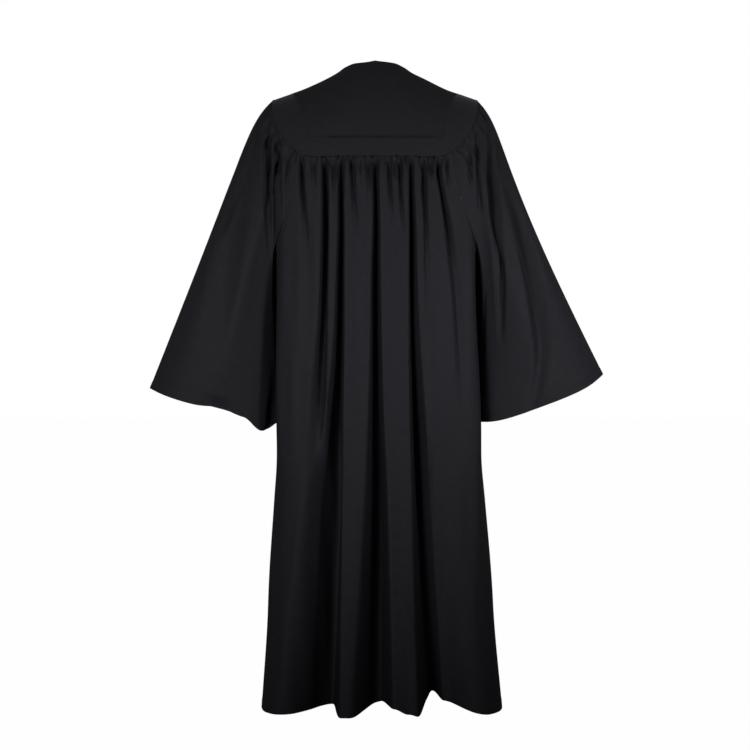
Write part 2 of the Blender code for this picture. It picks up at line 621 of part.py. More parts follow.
def body_side(y, drop, sign):
    """How far from the middle the body's side is at y on a level section."""
    front = y > 0
    reach = np.where(front, section("front", drop), section("back", drop))
    square = section("square", drop)
    half = section("half_width", drop)
    share = (1 - np.clip(np.abs(y) / reach, 0, 1) ** square) ** (1 / square)
    tucked = section("tuck", drop) * side_share(np.arcsin(share))
    return share * (half - tucked) + sign * section("sway", drop)


def build_sleeve(name, sign, cuff, folds, material):
    ring, outward, c = armhole_ring(sign)
    along = unit(np.roll(ring, -1, 0) - np.roll(ring, 1, 0))
    away = unit(np.cross(outward, along)) * sign
    under = ease(trough((c - 0.5) / UNDERARM_LAPPED) * 1.4)[:, None]
    lapped = ease((under - 0.6) / 0.4)
    head = ring + outward * UNDERARM_STEP * under
    head = head + away * (SEAM_GAP * (1 - lapped) - UNDERARM_LAP * lapped)
    t = SLEEVE_ROWS[:, None, None]
    edge = cuff_ring(cuff, c, sign)
    spread = unit(smoothed_round(away * (1 - under) + outward * (0.35 + 0.65 * under), c, 0.07))
    puff = SLEEVE_PUFF * (1 - t) * (1 - np.exp(-t / PUFF_LENGTH))
    puff = puff * (1 - 0.85 * trough((c - 0.5) / UNDERARM_FLAT)[:, None])
    quick = 1 + 2.5 * trough((c - 0.5) / UNDERARM_TURN)[:, None]
    course = np.concatenate([np.repeat(1 - (1 - t) ** quick, 2, 2), t + 0 * quick], 2)
    base = head + (edge - head) * course + spread * puff
    bow = cuff.bow * (1 + np.cos(2 * np.pi * c)) / 2 * np.sin(np.pi * SLEEVE_ROWS[:, None] ** 0.8)
    base[..., 0] -= sign * bow
    sunk = sleeve_sink(c[None, :], SLEEVE_ROWS[:, None], folds)
    grid = base - normals(base, closed=True) * -sign * sunk[..., None]
    drop = YOKE_SEAM - grid[..., 2]
    near = CLOTH + (UNDERARM_STEP - CLOTH) * under[:, 0]
    space = near + (SLEEVE_CLEAR - near) * ease(t[..., 0] / 0.08)
    short = body_side(grid[..., 1], drop, sign) + space - sign * grid[..., 0]
    pushed = np.maximum(short, 0) * ease((drop - 0.01) / 0.05)
    pushed[0] = 0
    grid[..., 0] += sign * pushed
    final = normals(grid, closed=True) * -sign
    final[0] = unit(outward + (final[0] - outward) * under)
    wall(name, grid, mitred(grid, final, closed=True), material, closed=True)


def build_yoke(material):
    outer, inner, neck = yoke_paths()
    v = np.linspace(0, 1 - 0.5 * SEAM_GAP / 0.12, YOKE_ROWS + 1)[:, None, None]
    path = mirrored(neck) + (mirrored(inner) - mirrored(neck)) * v
    points = shoulder(path[..., 0], path[..., 1])
    wall("yoke_panel", points, shoulder_facing(path[..., 0], path[..., 1]), material)
    v = np.linspace(0.5 * SEAM_GAP / BAND_WIDTH, 1, BAND_ROWS + 1)[:, None, None]
    middle = np.clip(1 - np.linspace(0, 1, BAND_COLUMNS + 1) * 5, 0, 1)
    for name, sign in (("band_left", -1), ("band_right", 1)):
        path = inner + (outer - inner) * v
        path[..., 0] += (CENTRE_BACK * sign + SEAM_GAP / 2) * middle
        points = shoulder(path[..., 0], path[..., 1]) * [sign, 1, 1]
        facing = shoulder_facing(path[..., 0], path[..., 1]) * [sign, 1, 1]
        wall(name, points, facing, material)


def cloth_material(name, colour, roughness):
    material = bpy.data.materials.new(name)
    material.use_nodes = True
    shader = material.node_tree.nodes["Principled BSDF"]
    shader.inputs["Base Color"].default_value = (*colour, 1)
    shader.inputs["Roughness"].default_value = roughness
    shader.inputs["Metallic"].default_value = 0
    return material


def main():
    for thing in list(bpy.data.objects):
        bpy.data.objects.remove(thing)
    gown = cloth_material("black_polyester", (0.012, 0.011, 0.014), 0.6)
    build_yoke(gown)
    build_back(gown)
    build_front("front_left", -1, gown)
    build_front("front_right", 1, gown)
    build_sleeve("sleeve_left", -1, LEFT_CUFF, LEFT_FOLDS, gown)
    build_sleeve("sleeve_right", 1, RIGHT_CUFF, RIGHT_FOLDS, gown)


main()
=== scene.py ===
# %% [markdown]
# # A black clergy robe, filled out as if it were worn
#
# The robe shows its back: a smooth yoke panel in a plain curved band, a full back gathered onto
# the band, and wide sleeves gathered into the armholes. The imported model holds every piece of
# cloth as a plain wall. Here each wall gets a finer one on the same form, with the small gathers,
# creases, seams and hems that a sewn robe has. Units are metres, +Z is up, and the wearer would
# face +Y, so the back is at -Y and the wearer's left is at -X.

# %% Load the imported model
from collections import namedtuple

import bpy
import numpy as np
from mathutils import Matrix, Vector
from mathutils.bvhtree import BVHTree


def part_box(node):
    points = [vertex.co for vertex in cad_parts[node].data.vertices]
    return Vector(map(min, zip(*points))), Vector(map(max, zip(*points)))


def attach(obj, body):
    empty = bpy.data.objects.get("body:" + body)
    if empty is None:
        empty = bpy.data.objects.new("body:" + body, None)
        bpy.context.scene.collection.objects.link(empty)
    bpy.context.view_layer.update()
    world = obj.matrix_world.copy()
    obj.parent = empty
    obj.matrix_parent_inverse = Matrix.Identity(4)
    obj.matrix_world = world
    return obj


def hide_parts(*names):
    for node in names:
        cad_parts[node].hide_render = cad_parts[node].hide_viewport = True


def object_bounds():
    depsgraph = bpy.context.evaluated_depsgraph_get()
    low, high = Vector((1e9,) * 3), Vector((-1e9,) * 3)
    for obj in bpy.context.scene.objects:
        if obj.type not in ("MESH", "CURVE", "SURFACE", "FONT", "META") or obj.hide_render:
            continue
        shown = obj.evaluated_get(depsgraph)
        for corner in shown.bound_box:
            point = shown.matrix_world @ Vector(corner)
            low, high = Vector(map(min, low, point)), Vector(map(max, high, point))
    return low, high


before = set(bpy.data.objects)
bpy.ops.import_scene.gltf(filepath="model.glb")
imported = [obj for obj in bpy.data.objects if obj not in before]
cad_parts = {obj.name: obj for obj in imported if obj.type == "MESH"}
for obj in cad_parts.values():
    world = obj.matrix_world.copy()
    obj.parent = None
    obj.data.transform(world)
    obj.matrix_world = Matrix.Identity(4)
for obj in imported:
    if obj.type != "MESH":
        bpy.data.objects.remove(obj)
cad_low, cad_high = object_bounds()
print("robe", [round(1000 * size) for size in cad_high - cad_low], "mm")

# %% [markdown]
# ## The camera comes first
#
# A picture of a garment is usually taken from a few metres away with a long lens, squarely and at
# half height, so that nothing is foreshortened. The lens follows from two sizes: how far away the
# camera stands and how much of the robe's plane is in the picture.

# %% Camera
CAMERA_AWAY = 3.5          # in front of the middle of the robe
CAMERA_HEIGHT = -0.63      # below the neck, about half way down
VIEW_WIDTH = 1.56          # width of the picture at the robe's middle
SENSOR = 36.0              # millimetres

camera_lens = bpy.data.cameras.new("camera")
camera_lens.sensor_width = SENSOR
camera_lens.lens = SENSOR * CAMERA_AWAY / VIEW_WIDTH
camera = bpy.data.objects.new("camera", camera_lens)
camera.location = (0, -CAMERA_AWAY, CAMERA_HEIGHT)
camera.rotation_euler = (np.pi / 2, 0, 0)
bpy.context.scene.collection.objects.link(camera)
bpy.context.scene.camera = camera
print("lens", round(camera_lens.lens, 1), "mm")

# %% [markdown]
# ## Soft curves
#
# Cloth has no corners, so every size that changes along the robe is read from a smooth curve
# through a few values. Three small shapes do the rest: a step with soft ends, a trough, and a
# ripple made of a few sine waves, which is uneven without being random from run to run.

# %% Curve helpers
MM = 0.001
QUARTER = np.pi / 2
BACK, FRONT = -1, 1
LEFT, RIGHT = -1, 1
SIDES = ((LEFT, "left"), (RIGHT, "right"))


def smooth_curve(knots, values, at):
    """A cubic through the knots whose slope at each is the harmonic mean of its neighbours'."""
    knots, values, at = (np.asarray(a, float) for a in (knots, values, at))
    step = np.diff(knots)
    rise = np.diff(values) / step
    slope = np.zeros_like(values)
    same_way = rise[:-1] * rise[1:] > 0
    before, after = rise[:-1][same_way], rise[1:][same_way]
    slope[1:-1][same_way] = 2 * before * after / (before + after)
    slope[0], slope[-1] = rise[0], rise[-1]
    i = np.clip(np.searchsorted(knots, at) - 1, 0, len(step) - 1)
    t = np.clip((at - knots[i]) / step[i], 0, 1)
    start = (1 + 2 * t) * (1 - t) ** 2 * values[i] + t * (1 - t) ** 2 * step[i] * slope[i]
    end = t * t * (3 - 2 * t) * values[i + 1] + t * t * (t - 1) * step[i] * slope[i + 1]
    return start + end


def column(rows, name):
    """One named column of a table."""
    return [getattr(row, name) for row in rows]


Rows = namedtuple("Rows", "start end count")


def spaced(stretches):
    """Where a grid's rows lie: each stretch is divided evenly, and only the last keeps its end."""
    last = stretches[-1]
    return np.concatenate([np.linspace(*rows, endpoint=rows is last) for rows in stretches])


def ease(t):
    """0 to 1 along 3t^2 - 2t^3, flat at both ends."""
    t = np.clip(t, 0, 1)
    return t * t * (3 - 2 * t)


def trough(t, lean=0.0, crease=0.0):
    """1 along the bottom of a fold and 0 from its edges outwards. t is the distance from the
    bottom over the half width. lean lengthens the left wall. crease goes from the round bottom
    of a squared cosine to the sharp one of 1 minus a sine."""
    reach = np.where(t < 0, 1 + lean, 1 - lean)
    share = np.clip(np.abs(t) / reach, 0, 1)
    rounded = np.cos(QUARTER * share) ** 2
    sharp = 1 - np.sin(QUARTER * share)
    return rounded + (sharp - rounded) * crease


def unit(v):
    return v / np.maximum(np.linalg.norm(v, axis=-1, keepdims=True), 1e-12)


def ripple(u, v, length_u, length_v, seed, waves=9):
    """An uneven ripple between about -1 and 1: a sum of sine waves whose lengths lie round
    length_u across and length_v along."""
    draw = np.random.default_rng(seed)
    total = 0
    for _ in range(waves):
        across, along = draw.uniform(0.5, 1.6), draw.uniform(-1.2, 1.2)
        total = total + np.sin(2 * np.pi * (across * u / length_u + along * v / length_v)
                               + draw.uniform(0, 2 * np.pi))
    return total / np.sqrt(2 * waves)


# %% [markdown]
# ## The form that the robe fills
#
# The body is a stack of level sections, each a rounded outline with its own half width and depth.
# Above the yoke seam the cloth goes over the shoulders: the section there shrinks towards the
# shoulders' ridge as a cosine does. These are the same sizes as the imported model's.

# %% Sizes and sections of the body
band_low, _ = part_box("band_right")
SKIN = 0.0005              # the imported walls' skins lie this far from their middle
YOKE_SEAM = -0.188         # height of the seam between the band and the gathers
HEM = -1.305
HEM_DROP = YOKE_SEAM - HEM
NECK_HALF = 0.075          # half width of the neck opening
NAPE = 0.016               # height of the back neckline at its middle
FRONT_NECK = 0.66          # the front neckline's middle, as a share of the way to the yoke seam
SHOULDER_HALF = 0.212      # the yoke's end, from the middle
SEAM_FORWARD = 0.015       # the shoulder seam lies this far in front of the ridge
YOKE_FLAT = 0.123          # half length of the straight part of the yoke's lower seam
UNDERARM_DROP = 0.200      # the underarm point, below the yoke seam
BAND_WIDTH = 0.039
PANEL_FOOT = 0.134         # half width of the yoke panel's lower edge
PANEL_HEAD = 0.179         # half width of the yoke panel at the shoulder
CENTRE_BACK = 0.0065       # the join of the two band halves
CORNER_FADE = 0.050        # the back's gathers come level over this drop below the band's corners
EDGE_FADE = 0.014          # folds fade out over this width beside an armhole or a side seam
TUCK_START = 0.6           # the side is drawn in from this share of the way round

Ridge = namedtuple("Ridge", "out height")
RIDGE = [
    Ridge(0.000, 0.032),
    Ridge(0.040, 0.023),
    Ridge(0.060, 0.011),
    Ridge(0.075, -0.001),
    Ridge(0.100, -0.0148),
    Ridge(0.126, -0.0275),
    Ridge(0.154, -0.0395),
    Ridge(0.189, -0.0515),
    Ridge(0.214, -0.0605),
    Ridge(0.235, -0.0720),
    Ridge(0.260, -0.0900),
]
Section = namedtuple("Section", "drop half_width back front square tuck sway")
SECTIONS = [
    Section(0.000, 0.250, 0.116, 0.108, 2.5, 0.006, 0.000),
    Section(0.035, 0.245, 0.120, 0.112, 2.5, 0.014, 0.000),
    Section(0.105, 0.237, 0.124, 0.117, 2.5, 0.028, 0.001),
    Section(0.160, 0.234, 0.125, 0.118, 2.5, 0.036, 0.002),
    Section(0.200, 0.233, 0.126, 0.118, 2.5, 0.038, 0.002),
    Section(0.320, 0.235, 0.130, 0.120, 2.5, 0.042, 0.003),
    Section(0.550, 0.240, 0.141, 0.128, 2.6, 0.042, 0.008),
    Section(0.690, 0.232, 0.151, 0.137, 2.7, 0.016, 0.0095),
    Section(0.910, 0.234, 0.172, 0.152, 3.2, 0.002, 0.0115),
    Section(1.117, 0.246, 0.193, 0.168, 4.0, 0.000, 0.0140),
]
Armhole = namedtuple("Armhole", "drop back front")
ARMHOLE = [
    Armhole(0.000, 0.155, 0.188),
    Armhole(0.065, 0.168, 0.184),
    Armhole(0.105, 0.179, 0.186),
    Armhole(0.155, 0.196, 0.196),
    Armhole(0.182, 0.211, 0.211),
    Armhole(0.200, 0.233, 0.233),
]
print("yoke seam", round(band_low.z - SKIN, 3), "hem", round(cad_low.z, 3))

# %% The body's surface


def ridge_height(x):
    """Height of the shoulders' ridge at x."""
    return smooth_curve(column(RIDGE, "out"), column(RIDGE, "height"), np.abs(x))


def section(name, drop):
    """One size of the body's level sections at each drop below the yoke seam."""
    return smooth_curve(column(SECTIONS, "drop"), column(SECTIONS, name), drop)


def depth(x, drop, side):
    """How far the body stands out at x: its depth times (1 - (x / half width)^n)^(1 / n)."""
    square = section("square", drop)
    share = np.clip(np.abs(x) / section("half_width", drop), 0, 1)
    return section("back" if side == BACK else "front", drop) * (1 - share**square) ** (1 / square)


def shoulder(x, over):
    """A point over the shoulders. over is the angle past the ridge, 90 degrees at the yoke seam's
    height on the back: the height falls as its cosine, and the depth grows as its sine."""
    ridge = ridge_height(x)
    height = YOKE_SEAM + (ridge - YOKE_SEAM) * np.cos(over)
    y = np.where(over > 0, -depth(x, 0, BACK), -depth(x, 0, FRONT)) * np.sin(over)
    return np.stack([x + 0 * y, y, height], -1)


def shoulder_facing(x, over):
    """The outward direction there, from two small steps on the surface."""
    nudge = 1e-4
    here = shoulder(x, over)
    right = shoulder(x + nudge, over) - here
    backward = shoulder(x, over + nudge) - here
    return unit(np.cross(backward, right))


def side_share(turn):
    """0 over the back or front, rising to 1 at the side seam."""
    return ease((np.abs(turn) / QUARTER - TUCK_START) / (1 - TUCK_START))


def body(x, drop, side, lift=0.0):
    """A point of the body below the yoke seam: x is drawn in near the side and swayed, and what
    lift raises above the seam leans in over the shoulder as a circle does."""
    half = section("half_width", drop)
    turn = np.arcsin(np.clip(x / half, -1, 1))
    tucked = 1 - section("tuck", drop) / half * side_share(turn)
    height = YOKE_SEAM - drop + lift + 0 * x
    above = np.clip((height - YOKE_SEAM) / (ridge_height(x) - YOKE_SEAM), 0, 1)
    y = side * depth(x, drop, side) * np.sqrt(1 - above**2)
    return np.stack([x * tucked + section("sway", drop), y, height], -1)


def armhole_edge(drop, side):
    """x of the armhole edge, or of the side seam below the underarm."""
    half = section("half_width", drop)
    edges = column(ARMHOLE, "back" if side == BACK else "front")
    out = smooth_curve(column(ARMHOLE, "drop"), edges, drop)
    return np.where(drop >= UNDERARM_DROP - 1e-9, half, np.minimum(out, half))


def seam_angle(x):
    """The angle over the ridge at which the shoulder seam lies in front of it."""
    ends = np.array([NECK_HALF, SHOULDER_HALF])
    return np.interp(x, ends, -np.arcsin(SEAM_FORWARD / depth(ends, 0, FRONT)))


def normals(points, closed=False):
    """Surface direction at each point of a grid, by the slopes along its rows and columns."""
    if closed:
        ring = np.concatenate([points[:, -1:], points, points[:, :1]], 1)
        along = (ring[:, 2:] - ring[:, :-2]) / 2
    else:
        along = np.gradient(points, axis=1)
    return unit(np.cross(np.gradient(points, axis=0), along))


print("depth of the back at the hem", round(float(depth(0, HEM_DROP, BACK)), 3))

# %% [markdown]
# ## Cloth as a thin wall
#
# A single surface has no thickness, so a hem would look like paper. Each piece is a closed wall:
# the outer skin, an inner skin one thickness inside it, and a rim that joins their edges. The UV
# map gives every point its place on the cut cloth in metres, so a weave follows the cloth into
# its folds.

# %% Wall of cloth
CLOTH = 0.0008             # polyester suiting of about 220 g per square metre
SEAM_GAP = 0.0003          # clearance between two pieces that are sewn together
MEETING_GAP = 0.000001     # edges that meet in the middle lie this far from it
SHARP_FROM = np.radians(50)   # edges that bend more than this stay crisp


def lengths(points, axis):
    """Distance along a grid's rows or columns from its first point."""
    step = np.linalg.norm(np.diff(points, axis=axis), axis=-1)
    start = np.zeros_like(np.take(step, [0], axis=axis))
    return np.cumsum(np.concatenate([start, step], axis=axis), axis=axis)


def cloth_wall(name, points, facing, material, node, closed=False):
    """A closed wall round a grid of points: the outer skin is the grid, the inner one is the grid
    moved back along facing, and each edge gets a rim. closed joins the last column to the first."""
    rows, columns = points.shape[:2]
    across = columns if closed else columns - 1
    i, j = np.meshgrid(np.arange(rows - 1), np.arange(across), indexing="ij")
    i, j = i.ravel(), j.ravel()
    corner_i = np.stack([i, i, i + 1, i + 1], 1)
    corner_j = np.stack([j, j + 1, j + 1, j], 1)
    skin = corner_i * columns + corner_j % columns
    inner = skin[:, ::-1] + rows * columns
    j = np.arange(across)
    edges = [(0 * j, j, 0 * j, j + 1), (rows - 1 + 0 * j, j + 1, rows - 1 + 0 * j, j)]
    if not closed:
        i = np.arange(rows - 1)
        edges += [(i + 1, 0 * i, i, 0 * i), (i, across + 0 * i, i + 1, across + 0 * i)]
    rims, rim_i, rim_j = [], [], []
    for i0, j0, i1, j1 in edges:
        first, second = i0 * columns + j0 % columns, i1 * columns + j1 % columns
        rims.append(np.stack([second, first, first + rows * columns, second + rows * columns], 1))
        rim_i.append(np.stack([i1, i0, i0, i1], 1))
        rim_j.append(np.stack([j1, j0, j0, j1], 1))
    faces = np.concatenate([skin, inner, *rims])
    places = np.concatenate([points, points - facing * CLOTH]).reshape(-1, 3)
    mesh = bpy.data.meshes.new(name)
    mesh.from_pydata(places.tolist(), [], faces.tolist())
    wide = np.concatenate([points, points[:, :1]], 1) if closed else points
    flat_u = lengths(wide, 1).mean(0)
    flat_v = lengths(points, 0).mean(1)
    at_i = np.concatenate([corner_i, corner_i[:, ::-1], *rim_i]).ravel()
    at_j = np.concatenate([corner_j, corner_j[:, ::-1], *rim_j]).ravel()
    cut = mesh.uv_layers.new(name="cut")
    cut.data.foreach_set("uv", np.stack([flat_u[at_j], flat_v[at_i]], 1).ravel())
    mesh.shade_smooth()
    mesh.set_sharp_from_angle(angle=SHARP_FROM)
    return finished(name, mesh, material, node, enclosed(places, faces))


def enclosed(places, faces):
    """Volume inside a mesh of quads, positive if they point outwards."""
    a, b, c, d = (places[faces[:, k]] for k in range(4))
    return (np.einsum("ij,ij->", a, np.cross(b, c)) + np.einsum("ij,ij->", a, np.cross(c, d))) / 6


def finished(name, mesh, material, node, volume):
    """Puts a mesh into the scene as a piece that rides on the robe and stands for a node."""
    if volume < 0:
        mesh.flip_normals()
    mesh.materials.append(material)
    piece = bpy.data.objects.new(name, mesh)
    bpy.context.scene.collection.objects.link(piece)
    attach(piece, "root")
    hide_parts(node)
    print(name, len(mesh.polygons), "faces")
    return piece


def mesh_points(mesh):
    """The places of a mesh's vertices, one in each row."""
    places = np.empty(3 * len(mesh.vertices), np.float32)
    mesh.vertices.foreach_get("co", places)
    return places.reshape(-1, 3)


def away_from_solid(piece, node):
    """Largest distance in mm from every 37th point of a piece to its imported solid's surface."""
    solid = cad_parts[node].data
    solid.calc_loop_triangles()
    corners = np.empty(3 * len(solid.loop_triangles), np.int32)
    solid.loop_triangles.foreach_get("vertices", corners)
    tree = BVHTree.FromPolygons(mesh_points(solid).tolist(), corners.reshape(-1, 3).tolist())
    apart = [tree.find_nearest(point)[3] for point in mesh_points(piece.data)[::37].tolist()]
    return round(max(apart) / MM, 1)


# %% [markdown]
# ## Black polyester
#
# Choir and clergy robes are mostly made of a closely woven black polyester with a dull satin
# face. Filament polyester reflects like other plastics, with an IOR near 1.5, and the many fine
# threads spread the reflection wide. Black dye leaves a very dark, slightly violet ground. The
# band is cut along the other grain of the same cloth, so that it takes the light a little more.

# %% Node helper and colours


def linear(hex_colour):
    """sRGB hex digits as linear red, green, blue and alpha."""
    channels = np.array([int(hex_colour[k:k + 2], 16) for k in (1, 3, 5)]) / 255
    low, high = channels / 12.92, ((channels + 0.055) / 1.055) ** 2.4
    return (*np.where(channels <= 0.04045, low, high), 1)


def add_node(tree, kind, links=(), values=(), **choices):
    """Adds a node with its choices, sets its inputs from (input, value) pairs and links
    (socket, input) pairs to it. An input is given by its name or its number."""
    node = tree.nodes.new(kind)
    for name, value in choices.items():
        setattr(node, name, value)
    for name, value in values:
        node.inputs[name].default_value = value
    for socket, name in links:
        tree.links.new(socket, node.inputs[name])
    return node


# %% Polyester material
THREAD = 0.9               # mm between ribs: real ones are 0.3 mm apart, too fine to show here
SLUB = 14                  # mm, length of the soft unevenness in the dye and the weave
RIB_HEIGHT, SLUB_HEIGHT = 0.06, 0.4   # mm
DYE, DYE_WORN = "#1a191d", "#222126"
WAVE_LENGTH = 2 * np.pi / 20   # a Wave texture's stripes are this far apart at scale 1
MIX_FACTOR, MIX_A, MIX_B, MIX_RESULT = 0, 6, 7, 2   # a Mix node's sockets for colours


def polyester(name, sheen, sheen_rough, roughness, turn):
    """Black woven polyester. Ribs run over the cut cloth at an angle of turn to the warp."""
    material = bpy.data.materials.new(name)
    material.use_nodes = True
    tree = material.node_tree
    shader = tree.nodes["Principled BSDF"]
    shader.inputs["Roughness"].default_value = roughness
    shader.inputs["IOR"].default_value = 1.5
    shader.inputs["Specular IOR Level"].default_value = 0.09
    shader.inputs["Sheen Weight"].default_value = sheen
    shader.inputs["Sheen Roughness"].default_value = sheen_rough
    shader.inputs["Sheen Tint"].default_value = linear("#b9b4c4")
    cut = add_node(tree, "ShaderNodeUVMap", uv_map="cut").outputs["UV"]
    ribs_at = add_node(tree, "ShaderNodeMapping", [(cut, "Vector")], [("Rotation", (0, 0, turn))])
    ribs = add_node(
        tree, "ShaderNodeTexWave", [(ribs_at.outputs["Vector"], "Vector")],
        [("Scale", WAVE_LENGTH / (THREAD * MM)), ("Distortion", 0.4), ("Detail", 1.0)],
    )
    slub = add_node(
        tree, "ShaderNodeTexNoise", [(cut, "Vector")],
        [("Scale", 1 / (SLUB * MM)), ("Detail", 3.0)],
    )
    dye = add_node(
        tree, "ShaderNodeMix", [(slub.outputs["Fac"], MIX_FACTOR)],
        [(MIX_A, linear(DYE)), (MIX_B, linear(DYE_WORN))], data_type="RGBA",
    )
    tree.links.new(dye.outputs[MIX_RESULT], shader.inputs["Base Color"])
    soft = add_node(
        tree, "ShaderNodeBump", [(slub.outputs["Fac"], "Height")],
        [("Strength", 0.15), ("Distance", SLUB_HEIGHT * MM)],
    )
    woven = add_node(
        tree, "ShaderNodeBump",
        [(ribs.outputs["Fac"], "Height"), (soft.outputs["Normal"], "Normal")],
        [("Strength", 0.15), ("Distance", RIB_HEIGHT * MM)],
    )
    tree.links.new(woven.outputs["Normal"], shader.inputs["Normal"])
    return material


robe_cloth = polyester(
    "black_polyester_satin_weave", sheen=0.0, sheen_rough=0.5, roughness=0.66, turn=np.radians(45)
)
band_cloth = polyester(
    "black_polyester_cross_grain", sheen=0.3, sheen_rough=0.4, roughness=0.70, turn=np.radians(-45)
)

# %% [markdown]
# ## The back: long folds that start at the gathers
#
# The back is much wider than the yoke, and a gathering thread takes up the width in many small
# tucks. A few of them run on as deep folds to the hem, the others fade within a hand's width. The
# table gives the folds that carry the form, at five levels from the gathers to the hem. Sinking
# the rounded body into them gives the cloth. Every fold is pressed in level, and the deep ones
# lift the hem a little where they meet it.

# %% Folds of the back
LEVELS = [0.030, 0.300, 0.500, 0.700, 1.117]   # drops that the folds' sizes are given at
TO_HEM = 9999              # a fold with this end runs on to the hem
# In millimetres at each level: the middle, the depth and the half width. Then the lean, how far
# the hem is lifted, and the drop at which the fold has faded out.
Fold = namedtuple("Fold", "x deep wide lean rise ends")
BACK_FOLDS = [
    Fold([-150, -138, -140, -143, -150], [12, 3, 0, 0, 0], [8, 14, 14, 16, 20], 0, 0, 260),
    Fold([-124, -124, -130, -140, -152], [6, 0, 0, 0, 0], [7, 8, 8, 8, 10], 0, 0, 75),
    Fold([-100, -107, -122, -130, -150], [13, 32, 38, 30, 8], [9, 13, 21, 26, 26], 0, 0, 1100),
    Fold([-84, -86, -100, -110, -120], [8, 0, 0, 0, 0], [7, 8, 8, 8, 10], 0, 0, 110),
    Fold([-68, -74, -83, -90, -108], [13, 36, 54, 78, 118], [8, 13, 20, 42, 70], 0.62, 6, TO_HEM),
    Fold([-46, -36, -45, -50, -60], [10, 2, 0, 0, 0], [8, 12, 10, 10, 10], 0, 0, 230),
    Fold([-30, -24, -30, -34, -40], [6, 0, 0, 0, 0], [6, 8, 8, 8, 10], 0, 0, 70),
    Fold([-14, -12, -15, -18, -25], [7, 0, 0, 0, 0], [6, 8, 8, 8, 10], 0, 0, 110),
    Fold([2, -1, -3, 1, -4], [13, 38, 50, 66, 90], [9, 14, 18, 26, 45], 0.38, 16, TO_HEM),
    Fold([29, 36, 33, 30, 22], [9, 2, 0, 0, 0], [7, 10, 10, 14, 30], 0, 18, 190),
    Fold([38, 46, 46, 45, 45], [6, 0, 0, 0, 0], [6, 8, 8, 8, 10], 0, 0, 70),
    Fold([50, 58, 56, 54, 52], [9, 3, 0, 0, 0], [7, 9, 15, 20, 30], 0, 7, 240),
    Fold([73, 75, 78, 86, 101], [13, 36, 48, 62, 94], [8, 13, 18, 23, 32], 0.05, 26, TO_HEM),
    Fold([98, 104, 108, 112, 124], [10, 3, 2, 12, 60], [8, 12, 20, 34, 62], -0.5, 24, TO_HEM),
    Fold([112, 130, 136, 142, 150], [6, 0, 0, 0, 0], [7, 10, 10, 10, 12], 0, 0, 80),
    Fold([129, 165, 172, 176, 182], [11, 13, 8, 4, 0], [8, 18, 20, 22, 24], 0, 0, 900),
    Fold([146, 176, 180, 184, 190], [7, 0, 0, 0, 0], [6, 10, 10, 10, 12], 0, 0, 90),
]
DEEP_FOLDS = [2, 4, 8, 12, 15]   # the ones that run far down
CENTRE_FOLD = 8            # the centre back seam runs up the right wall of this one
LEAN_FROM, LEAN_TO = 0.300, 0.750   # folds start to lean and lean fully at these drops
RISE_LEVEL = 0.600         # and lift the hem from this one


def fold_path(fold, drop):
    """Middle, half width, depth, lean and rise of a fold at each drop, in metres."""
    x = smooth_curve(LEVELS, fold.x, drop)
    wide = smooth_curve(LEVELS, fold.wide, drop)
    deep = smooth_curve([0] + LEVELS, [0] + fold.deep, drop)
    lean = fold.lean * ease((drop - LEAN_FROM) / (LEAN_TO - LEAN_FROM))
    rise = fold.rise * MM * ease((drop - RISE_LEVEL) / (HEM_DROP - RISE_LEVEL))
    return x * MM, wide * MM, deep * MM * (1 - ease(drop * 1000 / fold.ends)), lean, rise


def sink(x, drop, edge, folds, crease=0.0, narrow=1.0):
    """How far the cloth sinks at x and how far its edge is lifted there. crease sharpens the
    bottoms of the folds and narrow makes them this share of their width."""
    total = np.zeros((2,) + np.broadcast(x, drop).shape)
    for fold in folds:
        middle, wide, deep, lean, rise = fold_path(fold, drop)
        share = trough((x - middle) / (wide * narrow), lean, crease)
        total[0] += deep * share
        total[1] += rise * share
    return total * ease((edge - np.abs(x)) / EDGE_FADE)


# %% [markdown]
# ## Small gathers
#
# Between the long folds the gathering thread leaves many little tucks of uneven length. Their
# spacing, depth and length are drawn from a seeded generator, so they are the same in every run.

# %% Tucks along a seam
Gathers = namedtuple("Gathers", "start end spacing length deep")
BACK_GATHERS = [
    Gathers(-0.155, 0.155, 0.0085, 0.034, 0.0042),
    Gathers(-0.155, 0.155, 0.0150, 0.085, 0.0045),
]
BAND_DENTS = Gathers(-0.21, 0.21, 0.012, 0.010, 0.0009)
FRONT_TUCKS = Gathers(0.02, 0.20, 0.030, 0.40, 0.003)


def tucks(u, v, start, end, spacing, length, deep, seed):
    """Sum of short troughs that run down from a gathered seam. u is the distance along the seam,
    v the distance below it. Tucks lie about spacing apart, fade after about length and fan out."""
    draw = np.random.default_rng(seed)
    count = int((end - start) / spacing)
    middles = start + spacing * (np.arange(count) + draw.uniform(0.1, 0.9, count))
    longs = length * draw.uniform(0.5, 1.7, count)
    deeps = deep * draw.uniform(0.4, 1.2, count)
    leans = draw.uniform(-0.25, 0.25, count)
    total = 0
    for middle, long, down, lean in zip(middles, longs, deeps, leans):
        wide = spacing * (0.55 + 0.5 * np.clip(v / long, 0, 1))
        path = middle + lean * v
        total = total + down * trough((u - path) / wide, 0, 0.5) * (1 - ease(v / long))
    return total


# %% [markdown]
# ## Creases that go their own way
#
# Other creases cross the form instead of starting at a seam. Each is given by its path: where its
# bottom lies, how wide it is and how deep, at a few heights.

# %% Creases along paths
Crease = namedtuple("Crease", "heights outs wides deeps sharp")


def path_sink(out, height, creases):
    """How far the cloth sinks in creases given as paths: the distance of each one's bottom from
    the middle of the robe, its half width and its depth at a few heights, in millimetres."""
    total = 0
    for crease in creases:
        middle, wide, deep = (
            smooth_curve(crease.heights[::-1], values[::-1], height / MM)
            for values in (crease.outs, crease.wides, crease.deeps)
        )
        total = total + deep * trough((out / MM - middle) / wide, 0, crease.sharp)
    return total * MM


